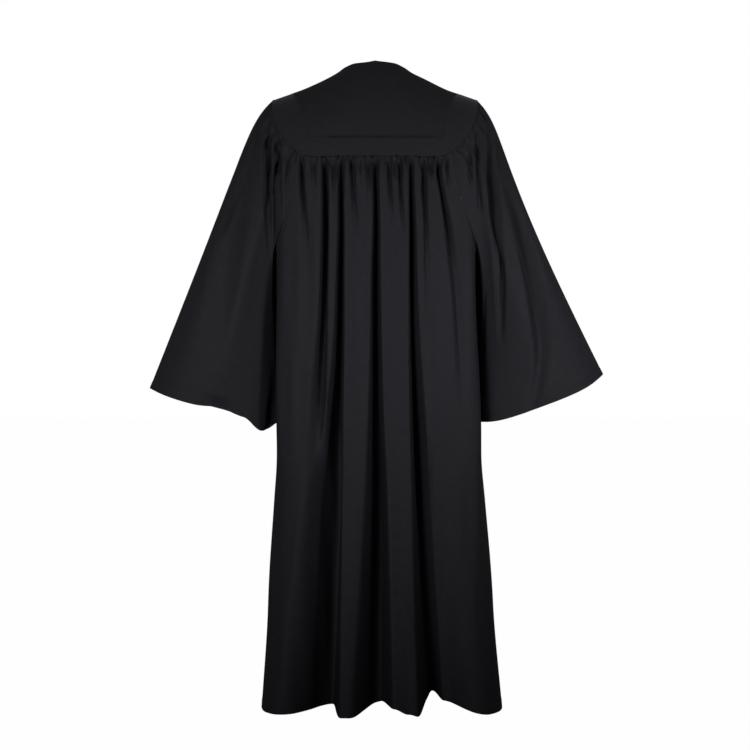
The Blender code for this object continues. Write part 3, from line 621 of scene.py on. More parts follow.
# %% Grid of the back
BETWEEN_FOLDS = 20         # columns of cloth from one fold to the next
SEAM_COLUMN = BETWEEN_FOLDS * (CENTRE_FOLD + 1) + BETWEEN_FOLDS // 2
SEAM_TUCKED = 0.004        # the gathered edge goes this far up under the band
TUCKED_IN = 0.0012         # and lies this far inside it
GATHERS_END, DEEP_ONLY = 0.080, 0.380   # down to and from these drops, for spacing the columns
FINE = 1601                # points that a row's length is measured with
ABOVE_HEM = 1.085          # the rows are closer together below this drop
BACK_ROWS = [
    Rows(-SEAM_TUCKED, 0.03, 24),
    Rows(0.03, 0.12, 38),
    Rows(0.12, 0.40, 66),
    Rows(0.40, ABOVE_HEM, 112),
    Rows(ABOVE_HEM, HEM_DROP, 14),
]


def back_columns(drops):
    """x of the back's columns on every row. Each fold has a column along its bottom, and the cloth
    between is shared out evenly; far down only the deep folds count."""
    marks = len(BACK_FOLDS) + 2
    columns = np.arange((marks - 1) * BETWEEN_FOLDS + 1)
    number = np.arange(marks) * BETWEEN_FOLDS
    deep = [0] + [k + 1 for k in DEEP_FOLDS] + [marks - 1]
    rows = []
    for drop in np.maximum(drops, 0):
        half, edge = section("half_width", drop), armhole_edge(drop, BACK)
        x = half * np.sin(np.linspace(-1, 1, FINE) * np.arcsin(edge / half))
        y = -depth(x, drop, BACK) + sink(x, drop, edge, BACK_FOLDS)[0]
        run = np.concatenate([[0], np.cumsum(np.hypot(np.diff(x), np.diff(y)))])
        middles = np.interp([fold_path(fold, drop)[0] for fold in BACK_FOLDS], x, run)
        at = np.maximum.accumulate(np.concatenate([[0], middles, run[-1:]]))
        near = np.interp(columns, number, at)
        far = np.interp(columns, number[deep], at[deep])
        along = near + (far - near) * ease((drop - GATHERS_END) / (DEEP_ONLY - GATHERS_END))
        rows.append(np.interp(along, run, x))
    return np.array(rows)


def plain_back(x, drop):
    """The back without its folds. Its upper edge follows the band up its round corners."""
    share = np.clip((np.abs(x) - YOKE_FLAT) / (SHOULDER_HALF - YOKE_FLAT), 0, 1)
    climb = (ridge_height(x) - YOKE_SEAM) * (1 - np.sqrt(1 - share**2))
    lift = climb * np.exp(-np.maximum(drop, 0) / CORNER_FADE) + np.maximum(-drop, 0)
    return body(x, np.maximum(drop, 0), BACK, lift)


drops = spaced(BACK_ROWS)
columns_x = back_columns(drops)
print("rows and columns of the back", columns_x.shape)

# %% Left and right back
HEM_DEPTH = 0.016          # the turned hem
HEM_PROUD, HEM_EASE = 0.0005, 0.0015
PUCKER_LENGTH, PUCKER_WIDE, PUCKER_DEEP = 0.022, 0.009, 0.0010
PUCKER_DROPS, PUCKER_LINE = [0.45, 0.75, 1.1], [0.020, 0.026, 0.033]
PUCKERS_FROM, PUCKERS_FADE = 0.45, 0.2
CREASED_TO, CREASED_FADE = 0.25, 0.4     # the folds' bottoms are creased down to this drop
CREASED, NARROWER = 0.4, 0.15            # and so sharp and so much narrower
PULLED_TO, PULLED_FADE = 0.06, 0.32      # the thread pulls the folds deeper down to this drop
PULLED = 0.45
BACK_UNEVEN = 0.0012
ROLL = 0.002               # the band's edge presses the gathers in over this height
BACK_CREASES = [
    Crease([-1030, -1052, -1085, -1120, -1150], [26, 33, 54, 66, 70],
           [6, 8, 9, 9, 8], [0, 2.0, 3.0, 2.0, 0], 0.2),
    Crease([-1150, -1180, -1215, -1240], [44, 48, 55, 60],
           [6, 8, 9, 8], [0, 1.6, 2.0, 0], 0.1),
]


def hem_step(to_edge):
    """The turned hem stands a little proud of the cloth above it."""
    return HEM_PROUD * ease((HEM_DEPTH - to_edge) / HEM_EASE)


def puckers(x, drop):
    """The long seam beside the middle fold has drawn the cloth up: short level dents across it,
    about PUCKER_LENGTH apart and uneven, on a line that leans out towards the hem."""
    line = smooth_curve(PUCKER_DROPS, PUCKER_LINE, drop)
    near = np.exp(-(((x - line) / PUCKER_WIDE) ** 2)) * ease((drop - PUCKERS_FROM) / PUCKERS_FADE)
    wave = np.sin(2 * np.pi * drop / PUCKER_LENGTH + 1.5 * ripple(drop, x, 0.11, 0.08, 15))
    return PUCKER_DEEP * near * (wave + 0.5 * ripple(drop, x, 0.03, 0.05, 16))


def build_back():
    """The whole back as one surface, with its directions, to be parted at the centre back seam."""
    drop = drops[:, None]
    low = np.maximum(drop, 0)
    x = columns_x
    edge = armhole_edge(low, BACK)
    plain = plain_back(x, drop)
    tight = 1 - ease((low - CREASED_TO) / CREASED_FADE)
    deep, rise = sink(x, low, edge, BACK_FOLDS, CREASED * tight, 1 - NARROWER * tight)
    deep = deep * (1 + PULLED * (1 - ease((low - PULLED_TO) / PULLED_FADE)))
    points = plain - unit(normals(plain) * [1, 1, 0]) * deep[..., None]
    points[..., 2] += rise
    out = normals(points)
    beside = ease((edge - np.abs(x)) / EDGE_FADE)
    small = tucks(x, low, *BACK_GATHERS[0], 11)
    small = small + tucks(x, low, *BACK_GATHERS[1], 12)
    soft = BACK_UNEVEN * ripple(x, low, 0.05, 0.5, 13) * ease(low / 0.1)
    puckered = puckers(x, low) + path_sink(x, YOKE_SEAM - low, BACK_CREASES)
    points = points - out * ((small + soft + puckered) * beside)[..., None]
    points = points + out * hem_step(HEM_DROP - low)[..., None]
    points[..., 1] += TUCKED_IN * (1 - ease(drop / ROLL))
    return points, normals(points)


back_points, back_out = build_back()
halves = {LEFT: slice(0, SEAM_COLUMN + 1), RIGHT: slice(SEAM_COLUMN, None)}
backs = {side: (back_points[:, half].copy(), back_out[:, half]) for side, half in halves.items()}
for side, name in SIDES:
    points, out = backs[side]
    inner_edge = -1 if side == LEFT else 0
    points[:, inner_edge, 0] += side * MEETING_GAP
    piece = cloth_wall(f"{name}_back_cloth", points, out, robe_cloth, f"back_{name}")
    print(name, "back up to", away_from_solid(piece, f"back_{name}"), "mm from its solid")

# %% [markdown]
# ## The yoke: a panel in a curved band
#
# The panel is cut to lie smoothly over the shoulders. Its lower edge is turned under and sewn down
# onto the band, and it gapes a little along the middle. The band is two mirrored halves, joined
# at the centre back, and the gathers come out from under its lower edge. Both follow the
# shoulders' surface between two paths given as (x, angle over the ridge).

# %% Paths of the yoke's seams
YOKE_COLUMNS = 120         # from the centre back to the shoulder seam
STRAIGHT_POINTS, CORNER_POINTS, END_POINTS, SLANT_POINTS = 60, 200, 12, 80


def resample(path, count):
    """The same path with evenly spaced points, measured on the shoulders' surface."""
    run = lengths(shoulder(path[:, 0], path[:, 1]), 0)
    even = np.linspace(0, run[-1], count)
    return np.stack([np.interp(even, run, path[:, k]) for k in range(2)], -1)


def band_end(over):
    """x of the band's outer edge, a quarter ellipse from the shoulder to the straight seam."""
    rise = 1 - np.cos(np.maximum(over, 0))
    return YOKE_FLAT + (SHOULDER_HALF - YOKE_FLAT) * np.sqrt(np.clip(1 - rise**2, 0, 1))


def outer_path():
    """Along the band's outer edge: straight, round the corner, over the ridge."""
    straight = np.linspace(0, YOKE_FLAT, STRAIGHT_POINTS)
    sweep = np.arccos(1 - np.sin(np.linspace(QUARTER, 0, CORNER_POINTS)))
    past_ridge = np.linspace(0, seam_angle(np.array(SHOULDER_HALF)), END_POINTS)[1:]
    over = np.concatenate([np.full(STRAIGHT_POINTS, QUARTER), sweep[1:], past_ridge])
    return np.stack([np.concatenate([straight, band_end(over[STRAIGHT_POINTS:])]), over], -1)


def inner_path():
    """Along the join of band and panel: level at the foot, then up the slant."""
    flat = np.linspace(0, PANEL_FOOT, STRAIGHT_POINTS)
    share = BAND_WIDTH / (ridge_height(flat) - YOKE_SEAM)
    level = np.stack([flat, np.arccos(np.clip(share, 0, 1))], -1)
    corner = level[-1, 1]
    climb = np.linspace(corner, seam_angle(np.array(PANEL_HEAD)), SLANT_POINTS)[1:]
    slant = PANEL_FOOT + (PANEL_HEAD - PANEL_FOOT) * np.minimum((corner - climb) / corner, 1)
    return level, np.stack([slant, climb], -1)


def neck_path():
    """Along the back neckline, from its middle to the shoulder seam."""
    out = NECK_HALF * np.sin(np.linspace(0, QUARTER, SLANT_POINTS))
    fall = (ridge_height(0.0) - NAPE) / (ridge_height(0.0) - YOKE_SEAM)
    over = np.arccos(1 - fall) * np.sqrt(np.clip(1 - (out / NECK_HALF) ** 2, 0, 1))
    past = np.linspace(0, seam_angle(np.array(NECK_HALF)), END_POINTS)[1:]
    return np.stack([np.append(out, NECK_HALF + 0 * past), np.append(over, past)], -1)


def yoke_paths():
    """Outer edge, inner join and neckline of the right half, with a column on the corner."""
    outer = resample(outer_path(), YOKE_COLUMNS + 1)
    level, slant = inner_path()
    corner = int(np.argmin(np.abs(outer[:, 0] - (PANEL_FOOT + 0.5 * BAND_WIDTH))))
    inner = np.concatenate([
        resample(level, corner + 1),
        resample(np.concatenate([level[-1:], slant]), YOKE_COLUMNS + 1 - corner)[1:],
    ])
    return outer, inner, resample(neck_path(), YOKE_COLUMNS + 1)


outer, inner, neck = yoke_paths()
print("lower seam of the band", round(2 * lengths(shoulder(*outer.T), 0)[-1], 3), "m")

# %% Yoke panel
PANEL_ROWS = 56
PANEL_CROWDED = 0.75       # how much closer its rows lie at the join than at the neck
TURNED_EDGE = 0.0009       # the turned edge of the panel lies this far above the band
GAPE = 0.0014              # and stands off this much more along the middle
GAPE_FROM, GAPE_TO, GAPE_FADE = -0.104, 0.124, 0.02
LIP_WIDE, LIP_LAP, LIP_WAVE = 0.0035, 0.0014, 0.0008
PANEL_UNEVEN = 0.0006


def gape(x):
    """1 where the panel's lower edge stands open, a little uneven, and 0 where it lies flat."""
    ends = ease((x - GAPE_FROM) / GAPE_FADE) * ease((GAPE_TO - x) / GAPE_FADE)
    return ends * (0.8 + 0.3 * ripple(x, 0 * x, 0.09, 1, 21))


def build_panel():
    """The shoulders' surface between the neckline and the join, raised at its turned edge."""
    even = np.linspace(0, 1, PANEL_ROWS + 1)[:, None, None]
    share = even + PANEL_CROWDED * even * (1 - even)
    ends = [np.concatenate([path[:0:-1] * [-1, 1], path]) for path in (neck, inner)]
    path = ends[0] + (ends[1] - ends[0]) * share
    points = shoulder(path[..., 0], path[..., 1])
    out = shoulder_facing(path[..., 0], path[..., 1])
    x = points[..., 0]
    to_edge = lengths(points, 0)[-1:] - lengths(points, 0)
    near = 1 - ease(to_edge / LIP_WIDE)
    raised = near * (TURNED_EDGE + GAPE * gape(x))
    soft = PANEL_UNEVEN * ripple(x, points[..., 2], 0.11, 0.09, 22)
    points = points + out * (raised + soft)[..., None]
    points[..., 2] -= near * (LIP_LAP + LIP_WAVE * gape(x) * ripple(x, 0 * x, 0.06, 1, 24))
    return points, normals(points)


panel_points, panel_out = build_panel()
cloth_wall("yoke_panel_cloth", panel_points, panel_out, robe_cloth, "yoke_panel")

# %% Band halves
BAND_ROWS = 22
BAND_CROWDED = 0.6         # how much closer its rows lie at the join than at the gathers
BAND_EDGE = 0.0008         # the band's lower edge covers the gathers by this much
BAND_EDGE_WIDE = 0.006
RECESS, RECESS_WIDE = 0.0030, 0.004   # the band goes in under the panel's open edge
LEVEL_FROM = 1.0           # the join is level where it lies more than this angle over the ridge
SEAM_DIP, SEAM_WIDE = 0.0010, 0.003   # the centre back seam of the band
CENTRE_FADE = 5            # its shift is gone at one fifth of the band's length


def build_band(side):
    """The shoulders' surface between the join and the lower seam, a little proud at its edge."""
    even = np.linspace(0, 1, BAND_ROWS + 1)[:, None, None]
    share = even - BAND_CROWDED * even * (1 - even)
    path = inner + (outer - inner) * share
    middle = np.clip(1 - np.linspace(0, 1, YOKE_COLUMNS + 1) * CENTRE_FADE, 0, 1)
    path[..., 0] += CENTRE_BACK * side * middle
    points = shoulder(path[..., 0], path[..., 1]) * [side, 1, 1]
    out = shoulder_facing(path[..., 0], path[..., 1]) * [side, 1, 1]
    to_edge = lengths(points, 0)[-1:] - lengths(points, 0)
    raised = BAND_EDGE * (1 - ease(to_edge / BAND_EDGE_WIDE))
    seam = SEAM_DIP * (1 - ease(lengths(points, 1) / SEAM_WIDE))
    dents = tucks(points[..., 0], to_edge, *BAND_DENTS, 23)
    from_join = lengths(points, 0)
    under_lip = RECESS * gape(points[..., 0]) * (1 - ease(from_join / RECESS_WIDE))
    under_lip = under_lip * (path[..., 1] > LEVEL_FROM)
    points = points + out * (raised - seam - dents - under_lip)[..., None]
    return points, normals(points) * side


band_surfaces = {side: build_band(side) for side in (LEFT, RIGHT)}
for side, name in SIDES:
    cloth_wall(f"{name}_band_cloth", *band_surfaces[side], band_cloth, f"band_{name}")

# %% [markdown]
# ## The fronts
#
# The photograph hides the front, so each half is one plain panel from the shoulder seam to the
# hem, and the two meet edge to edge. A few soft folds fall from the shoulders, like those of the
# back but shallower, because the front is cut narrower.

# %% Left and right front
FRONT_FOLDS = [
    Fold([42, 50, 54, 58, 66], [0, 9, 18, 28, 44], [20, 26, 28, 30, 34], 0, 0, TO_HEM),
    Fold([88, 104, 110, 116, 128], [0, 12, 22, 34, 52], [20, 28, 30, 32, 36], 0, 0, TO_HEM),
    Fold([130, 156, 163, 170, 186], [0, 8, 13, 18, 26], [16, 20, 22, 23, 26], 0, 0, TO_HEM),
]
FRONT_COLUMNS = 70
TOP_MARKS = [0, 5 / 14, 11 / 14, 1]   # shares of the columns: middle, neck, panel's and band's end
SCOOP = 1.3                # power of the curve of the front neckline
EVEN_TURN = np.radians(60)  # above the underarm the inner columns reach this far round
TURN_DROP, TURN_FADE = 0.12, 0.30     # from here they spread to the side seam
TURN_EDGE = 6              # power that keeps the spread near the armhole above
SLOPE_ROWS = 46            # from the neckline to the yoke seam's level
FRONT_UNEVEN = 0.0012
UNEVEN_HEAD, UNEVEN_MIDDLE = 0.05, 0.02   # it starts this far from the neckline and the middle
FRONT_ROWS = [Rows(0, 0.2, 40), Rows(0.2, ABOVE_HEM, 104), Rows(ABOVE_HEM, HEM_DROP, 12)]


def plain_front(side):
    """The front without its folds: the shoulders' surface down to the yoke seam's level, and the
    body's level sections below it."""
    share = np.linspace(0, 1, FRONT_COLUMNS + 1)
    top_x = np.interp(share, TOP_MARKS, [0, NECK_HALF, PANEL_HEAD, SHOULDER_HALF])
    scoop = np.clip(top_x / NECK_HALF, 0, 1) ** SCOOP
    top_over = -FRONT_NECK * QUARTER * (1 - scoop) + seam_angle(top_x) * scoop
    foot_turn = np.arcsin(armhole_edge(0.0, FRONT) / section("half_width", 0.0))
    foot_x = section("half_width", 0.0) * np.sin(share * foot_turn)
    v = np.linspace(0, 1, SLOPE_ROWS, endpoint=False)[:, None]
    slope_over = top_over + (-QUARTER - top_over) * v
    upper = shoulder(top_x + (foot_x - top_x) * v, slope_over) * [side, 1, 1]
    drop = front_drops[:, None]
    turn = np.arcsin(armhole_edge(drop, FRONT) / section("half_width", drop))
    inner_turn = EVEN_TURN + (QUARTER - EVEN_TURN) * ease((drop - TURN_DROP) / TURN_FADE)
    inner_turn = np.minimum(inner_turn, turn)
    turned = share * inner_turn + (turn - inner_turn) * share**TURN_EDGE
    x = section("half_width", drop) * np.sin(turned)
    grid = np.concatenate([upper, body(side * x, drop, FRONT)])
    grid[:, 0, 0] += side * MEETING_GAP
    return grid, np.concatenate([np.zeros_like(v), drop]), np.concatenate([0 * v + foot_x, x])


front_drops = spaced(FRONT_ROWS)


def build_front(side):
    """The front with its long folds, a few soft tucks below the shoulder, and the turned hem."""
    plain, drop, x = plain_front(side)
    facing = normals(plain) * -side
    half = section("half_width", drop)
    deep, _ = sink(x, drop, half, FRONT_FOLDS)
    points = plain - unit(facing * [1, 1, 0]) * (deep * (drop > 0))[..., None]
    out = normals(points) * -side
    below = -plain[..., 2]
    soft = tucks(x, below, *FRONT_TUCKS, 31 + side)
    soft = soft + FRONT_UNEVEN * ripple(x, below, 0.06, 0.5, 33 + side)
    soft = soft * ease(lengths(plain, 0) / UNEVEN_HEAD) * ease(x / UNEVEN_MIDDLE)
    soft = soft * ease((half - x) / EDGE_FADE)
    points = points - out * soft[..., None]
    points = points + out * hem_step(HEM_DROP - drop)[..., None]
    return points, normals(points) * -side


fronts = {side: build_front(side) for side in (LEFT, RIGHT)}
for side, name in SIDES:
    piece = cloth_wall(f"{name}_front_cloth", *fronts[side], robe_cloth, f"front_{name}")
    print(name, "front up to", away_from_solid(piece, f"front_{name}"), "mm from its solid")

# %% [markdown]
# ## The sleeves
#
# A bell sleeve is one wide panel round the arm. Its head is gathered onto the armhole, so it
# stands out below the seam, and its weight pulls it down into long folds. Each ring of it goes
# round the sleeve, and each column runs from a point of the armhole to a point of the wrist edge.
# Round the sleeve, 0 is the outer edge, 0.5 the underarm, and the back lies between them.

# %% Armhole ring
CORNER_SHARE, SEAM_SHARE = 0.34, 0.985   # places round the sleeve of the band's and back's join
UNDERARM_LAP, UNDERARM_STEP = 0.0008, 0.0026
STRIP = np.array([0.012, 0.008, 0.004, 0.0])   # a strip's columns, inwards from the edge
RING_POINTS, AHEAD_POINTS = 60, 6


def strip_facing(edge, drop, side):
    """Outward direction along the back's armhole, from a narrow strip of the back beside it."""
    return normals(plain_back(side * (edge - STRIP), drop))[:, -1] * side


def armhole_ring(side, where):
    """The seam that the sleeve is sewn to, at each place round the sleeve: down the band's end
    and the back's armhole, under the arm, and up the front. Also the body's outward direction."""
    corner = armhole_edge(0.0, BACK)
    rise = np.sqrt(1 - ((corner - YOKE_FLAT) / (SHOULDER_HALF - YOKE_FLAT)) ** 2)
    over = np.linspace(0, np.arccos(1 - rise), RING_POINTS)
    ahead = np.linspace(seam_angle(SHOULDER_HALF), 0, AHEAD_POINTS)
    drop = np.linspace(0, UNDERARM_DROP, RING_POINTS)[:, None]
    back_edge = armhole_edge(drop, BACK)
    back = plain_back(side * back_edge, drop)[:, 0]
    back_out = strip_facing(back_edge, drop, side)
    back_out[-1] = [side, 0, 0]
    front, front_drop, _ = plain_front(side)
    front_out = (normals(front) * -side)[:, -1]
    above = front_drop[:, 0] <= UNDERARM_DROP
    front_out[np.flatnonzero(above)[-1]] = [side, 0, 0]
    mirror = [side, 1, 1]
    stretches = [
        (shoulder(band_end(over), over) * mirror, shoulder_facing(band_end(over), over) * mirror),
        (back, back_out),
        (front[above, -1][::-1], front_out[above][::-1]),
        (shoulder(SHOULDER_HALF + 0 * ahead, ahead) * mirror,
         shoulder_facing(SHOULDER_HALF + 0 * ahead, ahead) * mirror),
    ]
    marks = [0, CORNER_SHARE, 0.5, SEAM_SHARE, 1]
    at = []
    for (points, _), start, end in zip(stretches, marks, marks[1:]):
        run = lengths(points, 0)
        at.append(start + (end - start) * run / run[-1])
    at = np.concatenate(at)
    points = np.concatenate([stretch[0] for stretch in stretches])
    facing = np.concatenate([stretch[1] for stretch in stretches])
    ring = np.stack([np.interp(where, at, points[:, k]) for k in range(3)], -1)
    outward = np.stack([np.interp(where, at, facing[:, k]) for k in range(3)], -1)
    return ring, unit(outward)


def smoothed_round(values, where, width):
    """values averaged with their neighbours round the sleeve."""
    apart = (where[:, None] - where[None, :] + 0.5) % 1 - 0.5
    weight = np.exp(-((apart / width) ** 2)) * np.gradient(where)
    return weight @ values / weight.sum(1, keepdims=True)


# %% Sleeve folds and wrist edges
Cuff = namedtuple("Cuff", "out_x out_z in_x in_z half_depth sag tip bow")
CUFFS = {
    LEFT: Cuff(0.468, -0.657, 0.1985, -0.728, 0.072, 0.008, 0.020, 0.002),
    RIGHT: Cuff(0.474, -0.628, 0.2110, -0.726, 0.070, 0.017, 0.000, 0.017),
}
# Places round the sleeve at its head, elbow and wrist edge, the depths there in millimetres, and
# the half width as a share of the way round.
SleeveFold = namedtuple("SleeveFold", "head elbow cuff deep_head deep_elbow deep_cuff wide")
FOLD_ENDS = 9.9            # they fade so slowly that they run on past the wrist edge
FOLD_LEVELS = [0, 0.06, 0.4, 1]   # shares of the way down: armhole, head, elbow, wrist edge
SLEEVE_FOLDS = {
    LEFT: [
        SleeveFold(0.215, 0.225, 0.240, 0, 3, 4, 0.080),
        SleeveFold(0.720, 0.700, 0.690, 3, 12, 16, 0.060),
        SleeveFold(0.870, 0.860, 0.850, 4, 8, 8, 0.050),
    ],
    RIGHT: [
        SleeveFold(0.700, 0.690, 0.680, 3, 12, 15, 0.060),
        SleeveFold(0.850, 0.850, 0.840, 4, 9, 8, 0.050),
    ],
}
HEAD_GATHERS = np.arange(3, 26, 4) * CORNER_SHARE / 26
GATHER_DEPTH, GATHER_WIDE, GATHER_START = 5, 0.026, 0.03
BACK_ENDS, FRONT_ENDS = 0.10, 0.26   # how far down the sleeve the head's gathers reach
SLEEVE_PUFF, PUFF_LENGTH = 0.026, 0.05
UNDERARM_LAPPED, UNDERARM_FLAT, UNDERARM_TURN = 0.11, 0.16, 0.3
SLEEVE_CLEAR = 0.005
FLATTENED = 0.45           # the oval comes this much nearer to a pointed lens at its outer end
TIP_AT = 0.13              # place of its low tip, as a share of the way out


def cuff_ring(cuff, where, side):
    """The wrist edge: an oval that slopes down towards the body, with a low tip near it."""
    turn = 2 * np.pi * where
    out = (1 + np.cos(turn)) / 2
    x = cuff.in_x + (cuff.out_x - cuff.in_x) * out
    z = cuff.in_z + (cuff.out_z - cuff.in_z) * out
    z = z - cuff.sag * (1 - (2 * out - 1) ** 4) - cuff.tip * trough((out - TIP_AT) / TIP_AT)
    flat = FLATTENED * out * np.sin(turn) * (np.abs(np.sin(turn)) - 1)
    return np.stack([side * x, -cuff.half_depth * (np.sin(turn) + flat), z], -1)


def sleeve_sink(where, t, folds):
    """How far the sleeve sinks: the head's gathers, then its own folds along smooth paths. On the
    back the gathers soon give way to the hanging folds."""
    total = np.zeros(np.broadcast(where, t).shape)
    for middle in HEAD_GATHERS:
        for place, ends in ((middle, BACK_ENDS), (1 - middle, FRONT_ENDS)):
            pressed = GATHER_DEPTH * ease(t / GATHER_START) * (1 - ease(t / ends))
            total = total + pressed * trough((where - place) / GATHER_WIDE, 0, 0.4)
    for fold in folds:
        middle = smooth_curve([0, 0.4, 1], [fold.head, fold.elbow, fold.cuff], t)
        deeps = [0, fold.deep_head, fold.deep_elbow, fold.deep_cuff]
        deep = smooth_curve(FOLD_LEVELS, deeps, t)
        share = trough((where - middle) / fold.wide, 0, 0.4 * (1 - t))
        total = total + deep * share * (1 - ease(t / FOLD_ENDS))
    return total * MM


# %% [markdown]
# Weight pulls the folds on the back of a sleeve straight down, whatever way its seam runs. So
# these are given as paths on the wall of the sleeve that is seen from behind: the distance from
# the middle of the robe at each height, in millimetres.

# %% Hanging folds
HANGING_FOLDS = {
    LEFT: [
        Crease([-125, -160, -205, -250, -295, -350], [240, 254, 276, 290, 305, 324],
               [10, 15, 19, 19, 17, 15], [0, 10, 22, 24, 14, 0], 0.2),
        Crease([-110, -155, -214, -263, -315, -400], [222, 221, 220, 219, 216, 213],
               [8, 11, 12, 12, 11, 10], [0, 16, 22, 18, 10, 0], 0.4),
        Crease([-95, -140, -228, -298, -366, -450], [198, 198, 199, 198, 198, 200],
               [7, 10, 12, 12, 11, 10], [0, 16, 24, 22, 14, 0], 0.4),
        Crease([-140, -165, -204, -246, -300], [172, 173, 175, 177, 180],
               [4, 6, 8, 8, 7], [0, 6, 10, 9, 0], 0.5),
        Crease([-200, -299, -340, -407, -478, -620], [262, 280, 292, 306, 315, 330],
               [20, 30, 36, 42, 42, 36], [0, 4, 8, 9, 8, 0], 0.0),
        Crease([-600, -660, -700, -760], [205, 206, 208, 210],
               [10, 14, 18, 20], [0, 4, 9, 12], 0.0),
    ],
    RIGHT: [
        Crease([-110, -140, -180, -228, -300, -360, -420, -480, -570],
               [236, 240, 241, 242, 246, 250, 254, 256, 258],
               [8, 12, 15, 17, 17, 16, 14, 12, 11], [0, 9, 20, 26, 26, 22, 15, 8, 0], 0.35),
        Crease([-130, -160, -200, -250, -315, -374, -435, -492, -572, -640, -720],
               [248, 256, 266, 280, 299, 312, 325, 334, 341, 333, 314],
               [8, 12, 17, 20, 23, 25, 26, 26, 24, 20, 18],
               [0, 6, 15, 22, 25, 24, 23, 22, 16, 9, 4], 0.2),
        Crease([-450, -480, -581, -625, -660], [226, 225, 223, 218, 216],
               [3, 4, 4, 4, 4], [0, 3, 4, 3, 0], 0.5),
        Crease([-110, -150, -200, -260, -320], [208, 208, 210, 212, 214],
               [5, 7, 8, 8, 7], [0, 9, 12, 8, 0], 0.5),
        Crease([-130, -165, -210, -260], [190, 191, 193, 196],
               [4, 6, 7, 6], [0, 6, 8, 0], 0.5),
    ],
}

# %% Sides of the body


def body_side(y, drop, side):
    """How far from the middle the body's side is at y on a level section."""
    reach = np.where(y > 0, section("front", drop), section("back", drop))
    square = section("square", drop)
    share = (1 - np.clip(np.abs(y) / reach, 0, 1) ** square) ** (1 / square)
    tucked = section("tuck", drop) * side_share(np.arcsin(share))
    return share * (section("half_width", drop) - tucked) + side * section("sway", drop)


# %% Sleeves
SLEEVE_COLUMNS = 320
SLEEVE_ROWS = spaced([
    Rows(0, 0.06, 26), Rows(0.06, 0.25, 38), Rows(0.25, 0.96, 66), Rows(0.96, 1, 12)
])
HEAD_ROUND = 0.52          # length of the seam round the armhole
CURL = {LEFT: 0.008, RIGHT: 0}   # the left wrist edge is bent in this far in one place
CURL_AT, CURL_WIDE, CURL_FROM = 0.27, 0.04, 0.93
SPREAD_WIDE = 0.07         # the head's directions are evened out over this share of the ring
BACK_OF_HEAD = Gathers(0.01, 0.36 * HEAD_ROUND, 0.009, 0.030, 0.0042)
FRONT_OF_HEAD = Gathers(0.62 * HEAD_ROUND, 0.97 * HEAD_ROUND, 0.010, 0.06, 0.002)
SLEEVE_UNEVEN = 0.0013


def sleeve_columns():
    """Places round the sleeve: the gathered back of the head has twice as many as the rest."""
    even = np.linspace(0, 1, SLEEVE_COLUMNS + 1)[:-1]
    fine = np.linspace(0, 1, 401)
    behind = 1.2 * (1 - ease(np.abs(fine - 0.2) / 0.24))
    ahead = 0.4 * (1 - ease(np.abs(fine - 0.85) / 0.15))
    density = 1 + behind + ahead
    share = np.cumsum(density) - density[0]
    return np.interp(even, share / share[-1], fine)


def build_sleeve(side):
    """The sleeve as rings from the armhole to the wrist edge. The straight course between the two
    rings is puffed at the head, bowed, sunk into its folds, and then kept clear of the body."""
    c = sleeve_columns()
    t = SLEEVE_ROWS[:, None]
    ring, outward = armhole_ring(side, c)
    along = unit(np.roll(ring, -1, 0) - np.roll(ring, 1, 0))
    away = unit(np.cross(outward, along)) * side
    under = ease(trough((c - 0.5) / UNDERARM_LAPPED) * 1.4)[:, None]
    lapped = ease((under - 0.6) / 0.4)
    head = ring + outward * UNDERARM_STEP * under
    head = head + away * (SEAM_GAP * (1 - lapped) - UNDERARM_LAP * lapped)
    cuff = CUFFS[side]
    wrist = cuff_ring(cuff, c, side)
    spread = away * (1 - under) + outward * (0.35 + 0.65 * under)
    spread = unit(smoothed_round(spread, c, SPREAD_WIDE))
    puff = SLEEVE_PUFF * (1 - t) * (1 - np.exp(-t / PUFF_LENGTH))
    puff = puff * (1 - 0.85 * trough((c - 0.5) / UNDERARM_FLAT))
    quick = 1 + 2.5 * trough((c - 0.5) / UNDERARM_TURN)
    sideways = 1 - (1 - t) ** quick
    course = np.stack([sideways, sideways, t + 0 * quick], -1)
    base = head + (wrist - head) * course + spread * puff[..., None]
    bow = cuff.bow * (1 + np.cos(2 * np.pi * c)) / 2 * np.sin(np.pi * t**0.8)
    base[..., 0] -= side * bow
    sunk = sleeve_sink(c[None, :], t, SLEEVE_FOLDS[side])
    points = base - normals(base, closed=True) * -side * sunk[..., None]
    behind = (c < 0.5) * ease(c / 0.07) * ease((0.5 - c) / 0.04)
    down = lengths(base, 0)
    hanging = path_sink(side * base[..., 0], base[..., 2], HANGING_FOLDS[side])
    hanging = hanging * behind * ease(down / 0.035)
    small = tucks(c * HEAD_ROUND, down, *BACK_OF_HEAD, 41 + side)
    small = small + tucks(c * HEAD_ROUND, down, *FRONT_OF_HEAD, 45 + side)
    soft = SLEEVE_UNEVEN * ripple(c * 0.6, down, 0.07, 0.45, 47 + side) * ease(down / 0.08)
    soft = soft * ease(c / 0.06) * ease((1 - c) / 0.06)
    curl = CURL[side] * np.exp(-(((c - CURL_AT) / CURL_WIDE) ** 2))
    curl = curl * ease((t - CURL_FROM) / (1 - CURL_FROM))
    out = normals(points, closed=True) * -side
    sunk = hanging + small * (1 - under[:, 0]) + soft + curl
    points = points - out * sunk[..., None]
    points[..., 2] += curl
    drop = YOKE_SEAM - points[..., 2]
    near = CLOTH + (UNDERARM_STEP - CLOTH) * under[:, 0]
    space = near + (SLEEVE_CLEAR - near) * ease(t / 0.08)
    short = body_side(points[..., 1], drop, side) + space - side * points[..., 0]
    points[..., 0] += side * np.maximum(short, 0) * ease((drop - 0.01) / 0.05) * (t > 0)
    out = normals(points, closed=True) * -side
    to_edge = lengths(points, 0)[-1:] - lengths(points, 0)
    points = points + out * hem_step(to_edge)[..., None]
    return points, normals(points, closed=True) * -side


